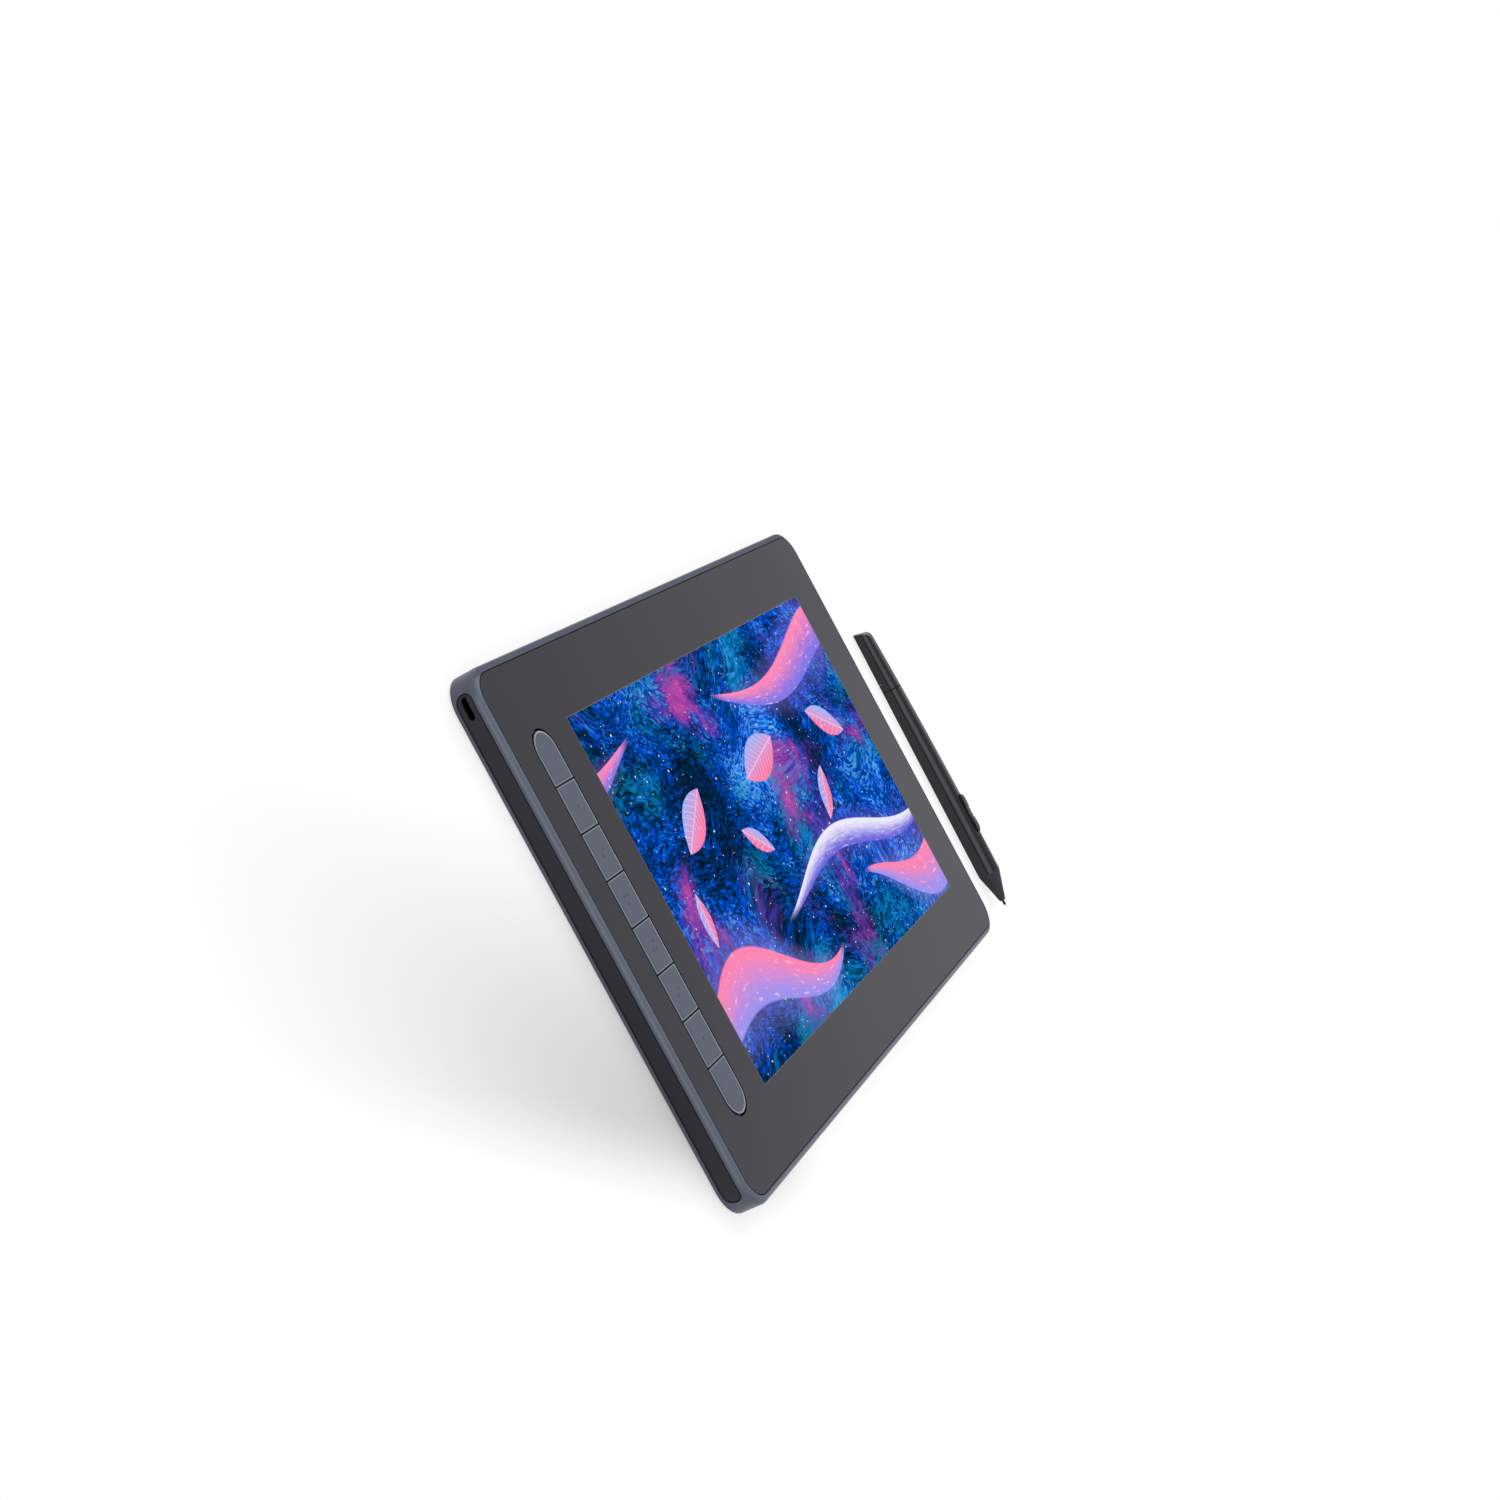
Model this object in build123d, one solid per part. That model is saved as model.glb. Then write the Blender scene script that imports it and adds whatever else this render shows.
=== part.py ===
from build123d import *
import os

os.makedirs("parts", exist_ok=True)

# Pen display lying face up on its feet, with its pen beside the right-hand end.
# +X runs along the long side to the right, +Y to the far long side, +Z out of the screen.
# The origin is the centre of the flat underside of the body. All lengths are millimetres.

# Picture area, and the borders from it to the body's outline
active_width = 263.23
active_height = 148.07
left_border = 51.055
right_border = 30.715
near_border = 30.025
far_border = 29.705

# Body
body_height = 10.9
body_corner = 12.5
front_edge_radius = 2.45
rear_edge_radius = 0.4
rim_width = 2.6
floor_thickness = 1.2
cut_overrun = 1.0

# Front sheet and what it is stuck to
glass_thickness = 1.1
glass_seam = 0.18
glass_edge_radius = 0.25
tape_thickness = 0.2
tape_inset = 1.0
tape_window_margin = 0.4

# Screen layers, from the front sheet down
cell_thickness = 1.0
cell_margin = 3.0
cell_ledge = 5.5
film_thickness = 0.5
guide_thickness = 2.0
reflector_thickness = 0.2
backlight_margin = 1.5
tray_wall = 0.6
tray_clearance = 0.1
tray_floor = 0.4
sensor_thickness = 0.6
sensor_margin = 4.0
shield_thickness = 0.3
led_count = 28
led_length = 3.4
led_depth = 0.9
led_height = 1.4
led_strip_thickness = 0.3

# Middle frame and the screws that hold it down
frame_clearance = 0.2
frame_thickness = 2.4
frame_window_margin = 0.6
frame_ribbon_room = 1.3
boss_radius = 2.7
boss_side_inset = 9.1
screw_pilot_radius = 1.0
screw_shank_radius = 0.95
screw_hole_radius = 1.2
screw_head_radius = 1.9
screw_head_height = 1.1
screw_head_room = 0.3
screw_head_sink = 0.2
screw_seat_thickness = 1.1
screw_seat_margin = 1.2
screw_thread_length = 3.6
drive_width = 0.5
drive_length = 2.0
drive_depth = 0.6

# Dark inserts along the two short sides
strip_end_inset = 6.15
strip_height = 6.95
strip_z = 4.88
strip_recess = 0.25
strip_pocket_depth = 1.2
strip_seam = 0.2

# Key column left of the screen
key_count = 8
key_side_inset = 25.85
key_width = 15.15
key_column_reach = 0.865
key_end_length = 20.0
key_slot_side_gap = 0.525
key_slot_end_gap = 1.0
key_gap = 0.42
key_crown_inset = 1.3
key_crown_height = 0.28
key_edge_break = 0.15
key_travel = 0.6
key_flange_width = 1.3
key_flange_thickness = 0.8
key_flange_clearance = 0.3
key_flange_gap = 1.6
key_stem_radius = 2.4
key_stem_drop = 1.4
key_tip_radius = 1.0
key_tip_entry = 0.4
dot_radius = 0.55
dot_height = 0.22
dot_pair_offset = 1.05
dot_trio_offset = 1.45

# What the keys run in and press
key_guide_clearance = 0.3
key_guide_wall = 1.0
key_rib_thickness = 0.9
key_rib_clearance = 0.3
switch_size = 6.0
switch_height = 2.2
switch_well_radius = 1.35
switch_well_margin = 0.5

# Circuit boards, all at one level on short posts
board_thickness = 1.0
board_post_height = 1.4
board_post_radius = 2.2
board_hole_radius = 0.95
board_screw_head_radius = 1.5
board_screw_head_height = 0.8
board_screw_shank_radius = 0.75
board_screw_length = 2.0
board_screw_pilot_radius = 0.8
board_corner_inset = 4.0
board_part_height = 1.0
main_board_width = 100.0
main_board_depth = 60.0
main_board_side_inset = 1.445
main_board_edge_inset = 2.195
key_board_width = 26.6
key_board_end_margin = 4.1
key_board_shift = 2.8
key_post_inset = 2.9
header_width = 20.0
header_depth = 4.0
header_window_margin = 1.5
ribbon_thickness = 0.2
ribbon_width = 6.0
ribbon_grip = 7.0
connector_depth = 3.0
connector_margin = 1.0
connector_height = 0.9
panel_ribbon_width = 28.0
panel_ribbon_share = 0.06
panel_ribbon_overlap = 1.6
panel_ribbon_gap = 0.3

# Posts under the shield plate
shield_post_radius = 2.6

# Port on the left side near the far corner
port_end_inset = 5.45
port_opening_length = 8.4
port_opening_height = 2.6
port_shell_wall = 0.3
port_shell_depth = 7.3
port_shell_clearance = 0.1
port_setback = 0.05
tongue_width = 6.7
tongue_thickness = 0.7
tongue_length = 4.5
port_back_wall = 0.8
port_board_width = 26.0
port_board_depth = 19.0
port_board_inset = 1.0
port_board_post_shift = 3.0

# Power button in the hidden right-hand insert
power_end_inset = 27.75
power_length = 10.0
power_height = 2.2
power_proud = 0.35
power_travel = 0.4
power_clearance = 0.3
power_flange_margin = 0.6
power_flange_rise = 0.15
power_flange_thickness = 0.8
power_flange_gap = 0.3
power_stem_radius = 0.9
power_tip_entry = 0.5
power_switch_length = 6.0
power_switch_depth = 4.0
power_switch_height = 3.0
power_switch_gap = 1.5
power_well_radius = 1.2
power_board_width = 10.0
power_board_depth = 16.0
power_board_inset = 2.2

# Feet
foot_length = 46.0
foot_width = 12.0
foot_recess = 0.5
foot_proud = 0.8
foot_side_inset = 60.5
foot_edge_inset = 29.9
foot_seam = 0.1
foot_edge_radius = 0.3

# Pen: its place beside the body, then its outline from the tip backwards
pen_x = 215.5
pen_tip_y = -103.6
pen_yaw = -1.5
nib_length_shown = 2.6
nose_length = 14.6
barrel_length = 104.0
tail_length = 27.2
section_height = 10.5
section_half_width = 5.4
section_keel_half_width = 1.8
section_edge_height = 5.8
middle_place_share = 0.45
middle_scale_share = 0.94
tail_scale_share = 0.76
land_depth = 0.22
tail_slant = 1.8
tail_round = 4.8
pen_seam = 0.12
bore_radius = 3.1
bore_height = 4.8
nose_tip_radius = 1.45
nose_bore_radius = 2.75
nose_bore_depth = 9.0
nose_spigot_length = 4.0
nose_spigot_clearance = 0.05

# Pen's inner pieces
nib_radius = 0.62
nib_round_share = 0.6
nib_hole_radius = 0.8
nib_length = 27.0
nib_travel = 0.3
ferrite_radius = 1.6
ferrite_length = 10.0
coil_radius = 2.5
coil_length = 6.0
sensor_radius = 2.7
force_sensor_length = 7.0
force_well_depth = 2.0
force_well_radius = 0.75
cradle_radius = 2.95
cradle_length = 58.0
cradle_gap = 0.4
pen_board_width = 4.4
pen_board_thickness = 0.8
pen_board_length = 54.0
pen_board_z = 5.3
pen_switch_length = 3.6
pen_switch_width = 3.0
pen_switch_height = 1.2

# Rocker on top of the pen
rocker_front = 37.4
rocker_length = 19.8
rocker_width = 4.2
rocker_proud = 0.78
rocker_dip = 0.35
rocker_depth = 4.1
rocker_clearance = 0.3
rocker_foot_radius = 0.8
rocker_foot_gap = 0.3
rocker_groove_width = 0.5
rocker_groove_depth = 0.25
rocker_groove_pitch = 2.1
rocker_pin_radius = 0.5
rocker_pin_clearance = 0.06
rocker_pin_drop = 2.22
rocker_pin_grip = 0.9

# Levels worked out from the sizes above
glass_bottom = body_height - glass_thickness
frame_top = glass_bottom - tape_thickness
frame_bottom = frame_top - frame_thickness
cell_bottom = glass_bottom - cell_thickness
film_bottom = cell_bottom - film_thickness
guide_bottom = film_bottom - guide_thickness
reflector_bottom = guide_bottom - reflector_thickness
tray_bottom = reflector_bottom - tray_floor
sensor_bottom = tray_bottom - sensor_thickness
shield_bottom = sensor_bottom - shield_thickness
board_bottom = floor_thickness + board_post_height
board_top = board_bottom + board_thickness
table_z = -foot_proud

# Wells in the switches: the pressing tip's entry, its travel and a margin
switch_well_depth = key_tip_entry + key_travel + switch_well_margin
power_well_depth = power_tip_entry + power_travel + switch_well_margin

# Outline and places that follow the picture area and its borders
body_width = left_border + active_width + right_border
body_depth = near_border + active_height + far_border
active_x = (left_border - right_border) / 2
active_y = (near_border - far_border) / 2
strip_length = body_depth - 2 * strip_end_inset
port_y = strip_length / 2 - port_end_inset
power_y = strip_length / 2 - power_end_inset
foot_x = body_width / 2 - foot_side_inset
foot_y = body_depth / 2 - foot_edge_inset
key_x = -body_width / 2 + key_side_inset
key_column_length = active_height + 2 * key_column_reach
key_pitch = (key_column_length - 2 * key_end_length) / (key_count - 2)
key_slot_width = key_width + 2 * key_slot_side_gap
key_slot_length = key_column_length + 2 * key_slot_end_gap
key_board_length = key_column_length + 2 * key_board_end_margin
main_board_x = active_x - active_width / 2 + main_board_side_inset + main_board_width / 2
main_board_y = active_y + active_height / 2 - main_board_edge_inset - main_board_depth / 2
panel_ribbon_x = main_board_x + panel_ribbon_share * main_board_width
key_ribbon_y = main_board_y
glass_width = body_width - 2 * (rim_width + glass_seam)
glass_depth = body_depth - 2 * (rim_width + glass_seam)
glass_corner = body_corner - rim_width - glass_seam


# Plates and posts between two heights

def block(width, depth, low, high, x=0, y=0):
    """Rectangular plate."""
    return Pos(x, y, low) * extrude(Rectangle(width, depth), high - low)


def rounded(width, depth, radius, low, high, x=0, y=0):
    """Rectangular plate with round corners."""
    return Pos(x, y, low) * extrude(RectangleRounded(width, depth, radius), high - low)


def obround(width, length, low, high, x=0, y=0):
    """Plate with round ends and its long side along Y."""
    return Pos(x, y, low) * extrude(SlotOverall(length, width, rotation=90), high - low)


def post(radius, low, high, x=0, y=0):
    """Upright round post."""
    return Pos(x, y, low) * extrude(Circle(radius), high - low)


def shaft(radius, start, end, z, x=0):
    """Round bar along Y."""
    return Pos(x, start, z) * extrude(Plane.XZ * Circle(radius), start - end)


def outline(inset, low, high):
    """The body's plan outline, drawn in by an inset."""
    return rounded(body_width - 2 * inset, body_depth - 2 * inset, body_corner - inset, low, high)


def together(pieces):
    """Several separate solids as one node."""
    return Part() + pieces


# Places that several pieces share

def boss_places():
    """Case screws midway between window and wall: five on each long side, three on the ends."""
    wall_y = body_depth / 2 - rim_width
    far_y = (window_y + window_depth / 2 + wall_y) / 2
    near_y = (window_y - window_depth / 2 - wall_y) / 2
    end_x = body_width / 2 - boss_side_inset
    long_side_shares = [-0.72, -0.39, -0.06, 0.27, 0.91]
    places = []
    for share in long_side_shares:
        places.append((share * body_width / 2, far_y))
    for share in [-0.91] + long_side_shares[1:]:
        places.append((share * body_width / 2, near_y))
    for share in [-0.38, 0.38]:
        places.append((-end_x, share * far_y))
    places.append((end_x, 0))
    return places


def shield_post_places():
    """Posts that carry the shield plate, clear of the main board."""
    across = active_width / 2
    along = active_height / 2
    shares = [(-0.85, -0.75), (-0.3, -0.75), (0.3, -0.75), (0.85, -0.75)]
    shares += [(-0.85, -0.1), (-0.3, -0.1), (0.3, 0), (0.85, 0)]
    shares += [(0.12, 0.75), (0.5, 0.75), (0.85, 0.75)]
    return [(active_x + a * across, active_y + b * along) for a, b in shares]


def board_corners(x, y, width, depth):
    """Screw places near the four corners of a board."""
    across = width / 2 - board_corner_inset
    along = depth / 2 - board_corner_inset
    return [(x + a * across, y + b * along) for a in (-1, 1) for b in (-1, 1)]


key_board_x = key_x + key_board_shift
key_board_right = key_board_x + key_board_width / 2
key_board_left = key_board_x - key_board_width / 2
port_board_x = -body_width / 2 + rim_width + port_board_inset + port_board_width / 2
port_board_y = port_y - port_board_post_shift / 2
power_board_x = body_width / 2 - rim_width - power_board_inset - power_board_width / 2


def board_screw_places():
    """Screws of the main, key, port and power boards."""
    main = board_corners(main_board_x, main_board_y, main_board_width, main_board_depth)
    key = [(key_board_right - key_post_inset, share * key_board_length) for share in (-0.4, 0.4)]
    port_end = port_board_x + port_board_width / 2 - board_corner_inset
    port = [(port_end, port_board_y + port_board_depth / 2 - board_corner_inset)]
    power = [(power_board_x, power_y - power_board_depth / 2 + board_screw_head_radius)]
    return main + key + port + power


def key_post_places():
    """Plain posts under the left edge of the key board."""
    left = key_board_left + key_post_inset
    return [(left, share * key_board_length) for share in (-0.4, 0, 0.4)]


def foot_places():
    return [(a * foot_x, b * foot_y) for a in (-1, 1) for b in (-1, 1)]


# Body

def side_band(half_length, half_height, face_inset, back_inset):
    """Round-ended band on the right-hand end, between two insets from the outline."""
    face = Plane.YZ * SlotOverall(2 * half_length, 2 * half_height)
    reach = Pos(0, 0, strip_z) * extrude(face, body_width)
    skin = outline(face_inset, 0, body_height) - outline(back_inset, -cut_overrun, body_height + cut_overrun)
    return reach & skin


def port_opening(grow):
    """Round-ended tunnel for the port, through the left-hand side."""
    face = Plane.YZ * SlotOverall(port_opening_length + 2 * grow, port_opening_height + 2 * grow)
    reach = rim_width + port_shell_depth + cut_overrun
    return Pos(-body_width / 2 - cut_overrun, port_y, strip_z) * extrude(face, reach)


def power_opening(grow):
    """Round-ended tunnel for the power button, through the right-hand side."""
    face = Plane.YZ * SlotOverall(power_length + 2 * grow, power_height + 2 * grow)
    return Pos(body_width / 2 + cut_overrun, power_y, strip_z) * extrude(face, -rim_width - 2 * cut_overrun)


screw_sink_depth = screw_head_height + screw_head_sink
screw_seat_top = screw_sink_depth + screw_seat_thickness
shell_gap = port_shell_wall + port_shell_clearance


def make_rear_shell():
    shell = outline(0, 0, body_height)
    shell = fillet(shell.edges().group_by(Axis.Z)[-1], front_edge_radius)
    shell = fillet(shell.edges().group_by(Axis.Z)[0], rear_edge_radius)
    shell -= outline(rim_width, floor_thickness, body_height + cut_overrun)
    pocket = side_band(strip_length / 2, strip_height / 2, -cut_overrun, strip_pocket_depth)
    cuts = [pocket, mirror(pocket, Plane.YZ), port_opening(shell_gap), power_opening(power_clearance)]
    posts = []
    for x, y in boss_places():
        seat_radius = screw_head_radius + screw_head_room + screw_seat_margin
        posts.append(post(seat_radius, floor_thickness, screw_seat_top, x, y))
        cuts.append(post(screw_hole_radius, -cut_overrun, screw_seat_top + cut_overrun, x, y))
        cuts.append(post(screw_head_radius + screw_head_room, -cut_overrun, screw_sink_depth, x, y))
    for x, y in shield_post_places():
        posts.append(post(shield_post_radius, floor_thickness, shield_bottom, x, y))
    for x, y in key_post_places():
        posts.append(post(board_post_radius, floor_thickness, board_bottom, x, y))
    for x, y in board_screw_places():
        posts.append(post(board_post_radius, floor_thickness, board_bottom, x, y))
        cuts.append(post(board_screw_pilot_radius, floor_thickness, board_bottom + cut_overrun, x, y))
    for x, y in foot_places():
        cuts.append(obround_foot(foot_seam, -cut_overrun, foot_recess, x, y))
    return shell + posts - cuts


def obround_foot(grow, low, high, x, y):
    """Round-ended pad with its long side along X."""
    pad = SlotOverall(foot_length + 2 * grow, foot_width + 2 * grow)
    return Pos(x, y, low) * extrude(pad, high - low)


def make_rubber_feet():
    feet = []
    for x, y in foot_places():
        foot = obround_foot(0, table_z, foot_recess, x, y)
        feet.append(fillet(foot.edges().group_by(Axis.Z)[0], foot_edge_radius))
    return together(feet)


def make_side_strip():
    """Dark insert of the right-hand end, a seam smaller than its pocket all round."""
    half_length = strip_length / 2 - strip_seam
    half_height = strip_height / 2 - strip_seam
    return side_band(half_length, half_height, strip_recess, strip_pocket_depth)


def make_left_strip():
    """The insert's round end also makes room behind it for the port's sleeve."""
    return mirror(make_side_strip(), Plane.YZ) - port_opening(0) - port_sleeve(port_shell_clearance)


def make_right_strip():
    return make_side_strip() - power_opening(power_clearance)


# Middle frame

tray_width = active_width + 2 * (backlight_margin + tray_clearance + tray_wall)
tray_depth = active_height + 2 * (backlight_margin + tray_clearance + tray_wall)
cell_width = active_width + 2 * cell_margin
cell_depth = active_height + cell_margin + cell_ledge
cell_y = active_y + (cell_ledge - cell_margin) / 2
window_width = cell_width + 2 * frame_window_margin
window_depth = cell_depth + frame_window_margin + frame_ribbon_room
window_y = cell_y + (frame_ribbon_room - frame_window_margin) / 2
flange_reach = key_flange_width + key_guide_clearance
key_guide_inner_width = key_width + 2 * flange_reach
key_guide_inner_length = key_column_length + 2 * flange_reach
key_guide_width = key_guide_inner_width + 2 * key_guide_wall
key_guide_length = key_guide_inner_length + 2 * key_guide_wall


def frame_windows(margin, low, high):
    """The screen's window and the key guide's window, each grown by a margin."""
    screen = block(window_width + 2 * margin, window_depth + 2 * margin, low, high, active_x, window_y)
    return screen + key_window(margin, low, high)


def key_window(margin, low, high):
    grow = 2 * (frame_clearance + margin)
    return obround(key_guide_width + grow, key_guide_length + grow, low, high, key_x)


def make_mid_frame():
    frame = outline(rim_width + frame_clearance, frame_bottom, frame_top)
    frame -= frame_windows(0, frame_bottom - cut_overrun, frame_top + cut_overrun)
    bosses = [post(boss_radius, screw_seat_top, frame_bottom, x, y) for x, y in boss_places()]
    low = screw_seat_top - cut_overrun
    pilots = [post(screw_pilot_radius, low, frame_top - cut_overrun, x, y) for x, y in boss_places()]
    return frame + bosses - pilots


def make_glass_tape():
    tape = outline(rim_width + tape_inset, frame_top, glass_bottom)
    low = frame_top - cut_overrun
    high = glass_bottom + cut_overrun
    tape -= block(
        window_width + 2 * tape_window_margin,
        window_depth + 2 * tape_window_margin,
        low,
        high,
        active_x,
        window_y,
    )
    return tape - obround(key_guide_inner_width, key_guide_inner_length, low, high, key_x)


def make_cover_glass():
    glass = rounded(glass_width, glass_depth, glass_corner, glass_bottom, body_height)
    low = glass_bottom - cut_overrun
    glass -= obround(key_slot_width, key_slot_length, low, body_height + cut_overrun, key_x)
    return fillet(glass.edges().group_by(Axis.Z)[-1], glass_edge_radius)


def make_case_screws():
    screws = []
    for x, y in boss_places():
        low = screw_head_sink
        head = post(screw_head_radius, low, low + screw_head_height, x, y)
        shank_top = screw_seat_top + screw_thread_length
        shank = post(screw_shank_radius, low + screw_head_height, shank_top, x, y)
        drive = block(drive_width, drive_length, low - cut_overrun, low + drive_depth, x, y)
        drive += block(drive_length, drive_width, low - cut_overrun, low + drive_depth, x, y)
        screws.append(head + shank - drive)
    return together(screws)


# Screen

def make_lcd_cell():
    """Two glass plates: the rear one reaches out into a ledge on the far side."""
    half = cell_thickness / 2
    rear = block(cell_width, cell_depth, cell_bottom, cell_bottom + half, active_x, cell_y)
    front_depth = cell_depth - cell_ledge + cell_margin
    front_y = cell_y - (cell_depth - front_depth) / 2
    return rear + block(cell_width, front_depth, cell_bottom + half, glass_bottom, active_x, front_y)


def backlight_sheet(low, high, near_cut=0):
    """Sheet of the backlight, cut back along its near edge."""
    width = active_width + 2 * backlight_margin
    depth = active_height + 2 * backlight_margin - near_cut
    return block(width, depth, low, high, active_x, active_y + near_cut / 2)


led_room = led_depth + led_strip_thickness + tray_clearance


def make_light_guide():
    return backlight_sheet(guide_bottom, film_bottom, led_room)


def make_led_bar():
    """Strip standing on edge along the guide's near side, with a row of lamps."""
    low_y = active_y - active_height / 2 - backlight_margin
    width = active_width + 2 * backlight_margin
    strip_y = low_y + led_strip_thickness / 2
    bar = block(width, led_strip_thickness, guide_bottom, film_bottom, active_x, strip_y)
    led_y = low_y + led_strip_thickness + led_depth / 2
    middle = (guide_bottom + film_bottom) / 2
    lamps = []
    for index in range(led_count):
        x = active_x + ((index + 0.5) / led_count - 0.5) * width
        lamps.append(block(led_length, led_depth, middle - led_height / 2, middle + led_height / 2, x, led_y))
    return bar + lamps


def make_panel_tray():
    tray = block(tray_width, tray_depth, tray_bottom, cell_bottom, active_x, active_y)
    inner_width = tray_width - 2 * tray_wall
    inner_depth = tray_depth - 2 * tray_wall
    high = cell_bottom + cut_overrun
    return tray - block(inner_width, inner_depth, reflector_bottom, high, active_x, active_y)


def make_sensor_board():
    width = active_width + 2 * sensor_margin
    depth = active_height + 2 * sensor_margin
    return block(width, depth, sensor_bottom, tray_bottom, active_x, active_y)


def header_place():
    """The sensor's connector stands near the main board's right-hand end."""
    header_shares = (0.3, -0.25)
    x = main_board_x + header_shares[0] * main_board_width
    y = main_board_y + header_shares[1] * main_board_depth
    return x, y


def make_shield_plate():
    width = active_width + 2 * sensor_margin
    depth = active_height + 2 * sensor_margin
    plate = block(width, depth, shield_bottom, sensor_bottom, active_x, active_y)
    x, y = header_place()
    room = 2 * header_window_margin
    low = shield_bottom - cut_overrun
    high = sensor_bottom + cut_overrun
    return plate - block(header_width + room, header_depth + room, low, high, x, y)


def make_sensor_header():
    x, y = header_place()
    return block(header_width, header_depth, board_top, sensor_bottom, x, y)


# Boards and their connections

main_top_y = main_board_y + main_board_depth / 2
main_left_x = main_board_x - main_board_width / 2
port_ribbon_turn = main_left_x + 2 * ribbon_width
power_ribbon_turn = main_board_x + main_board_width / 2 - 2 * ribbon_width


def board_with_holes(board):
    """A board with a hole at each screw place that lies on it."""
    for x, y in board_screw_places():
        board -= post(board_hole_radius, board_bottom - cut_overrun, board_top + cut_overrun, x, y)
    return board


def make_main_board():
    board = block(main_board_width, main_board_depth, board_bottom, board_top, main_board_x, main_board_y)
    return board_with_holes(board)


def make_board_parts():
    """Chips, coils and connectors: place, size and height as shares of the board's."""
    chip_shares = [
        (-0.05, 0.05, 0.15, 0.25, 1.0),
        (-0.22, 0.12, 0.09, 0.13, 0.8),
        (-0.22, -0.12, 0.09, 0.13, 0.8),
        (0.14, 0.18, 0.08, 0.12, 0.8),
        (0.14, -0.05, 0.06, 0.1, 0.7),
        (0.38, 0.12, 0.07, 0.1, 0.9),
        (0.38, -0.08, 0.05, 0.08, 0.7),
        (-0.05, -0.33, 0.05, 0.08, 0.6),
        (0.08, -0.33, 0.05, 0.08, 0.6),
    ]
    parts = []
    for x_share, y_share, width_share, depth_share, height_share in chip_shares:
        parts.append(
            block(
                width_share * main_board_width,
                depth_share * main_board_depth,
                board_top,
                board_top + height_share * board_part_height,
                main_board_x + x_share * main_board_width,
                main_board_y + y_share * main_board_depth,
            )
        )
    coil_shares = [(0.26, -0.36), (0.34, -0.36)]
    for x_share, y_share in coil_shares:
        x = main_board_x + x_share * main_board_width
        y = main_board_y + y_share * main_board_depth
        parts.append(post(board_post_radius, board_top, board_top + board_part_height, x, y))
    return together(parts + ribbon_connectors())


def ribbon_connectors():
    """Connectors just inside each cable's end on the main board."""
    high = board_top + connector_height
    end_y = main_top_y - ribbon_grip - ribbon_width / 2 - connector_depth / 2
    wide = ribbon_width + 2 * connector_margin
    panel_y = main_top_y - ribbon_grip - connector_depth / 2
    panel_wide = panel_ribbon_width + 2 * connector_margin
    key_x_end = main_left_x + ribbon_grip + ribbon_width / 2 + connector_depth / 2
    return [
        block(wide, connector_depth, board_top, high, port_ribbon_turn, end_y),
        block(wide, connector_depth, board_top, high, power_ribbon_turn, end_y),
        block(panel_wide, connector_depth, board_top, high, panel_ribbon_x, panel_y),
        block(connector_depth, wide, board_top, high, key_x_end, key_ribbon_y),
    ]


def make_board_screws():
    screws = []
    for x, y in board_screw_places():
        head = post(board_screw_head_radius, board_top, board_top + board_screw_head_height, x, y)
        low = board_top - board_screw_length
        screws.append(head + post(board_screw_shank_radius, low, board_top, x, y))
    return together(screws)


def make_key_board():
    board = block(key_board_width, key_board_length, board_bottom, board_top, key_board_x)
    return board_with_holes(board)


def make_port_board():
    """The port's sleeve lies in a shallow trough in this board."""
    board = block(port_board_width, port_board_depth, board_bottom, board_top, port_board_x, port_board_y)
    board &= outline(rim_width + port_board_inset, board_bottom, board_top)
    return board_with_holes(board) - port_sleeve(port_shell_clearance)


def ribbon_path(points, width):
    """Flat cable lying at board level, through corner points, square at its corners."""
    cable = Part()
    for (x1, y1), (x2, y2) in zip(points[:-1], points[1:]):
        across = abs(x2 - x1) + width
        along = abs(y2 - y1) + width
        middle_x = (x1 + x2) / 2
        middle_y = (y1 + y2) / 2
        cable += block(across, along, board_top, board_top + ribbon_thickness, middle_x, middle_y)
    return cable


def make_port_ribbon():
    """From the port board, along the frame's far side, down to the main board."""
    start = port_board_x + port_board_width / 2 - ribbon_width / 2
    lane = port_board_y - port_board_depth / 2 + ribbon_width / 2
    turn = port_ribbon_turn
    points = [(start, lane), (turn, lane), (turn, main_top_y - ribbon_grip)]
    return ribbon_path(points, ribbon_width)


def make_power_ribbon():
    """From the power board, along the screen's far side, down to the main board."""
    start = power_board_x
    lane = power_y + power_board_depth / 2 + ribbon_width
    turn = power_ribbon_turn
    grip = power_y + power_board_depth / 2
    points = [(start, grip), (start, lane), (turn, lane), (turn, main_top_y - ribbon_grip)]
    return ribbon_path(points, ribbon_width)


def make_key_ribbon():
    start = key_x + key_guide_width / 2 + frame_clearance + ribbon_width / 2
    points = [(start, key_ribbon_y), (main_left_x + ribbon_grip, key_ribbon_y)]
    return ribbon_path(points, ribbon_width)


def make_panel_ribbon():
    """From under the cell's ledge, down past the tray, and back in to the main board."""
    edge_y = cell_y + cell_depth / 2
    out_y = edge_y + panel_ribbon_gap
    low = board_top
    tab_depth = panel_ribbon_overlap + panel_ribbon_gap + ribbon_thickness
    outer_y = out_y + ribbon_thickness
    top = block(
        panel_ribbon_width,
        tab_depth,
        cell_bottom - ribbon_thickness,
        cell_bottom,
        panel_ribbon_x,
        outer_y - tab_depth / 2,
    )
    drop = block(
        panel_ribbon_width,
        ribbon_thickness,
        low,
        cell_bottom,
        panel_ribbon_x,
        out_y + ribbon_thickness / 2,
    )
    inner_y = main_top_y - ribbon_grip
    foot = block(
        panel_ribbon_width,
        outer_y - inner_y,
        low,
        low + ribbon_thickness,
        panel_ribbon_x,
        (outer_y + inner_y) / 2,
    )
    return top + drop + foot


# Port

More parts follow.
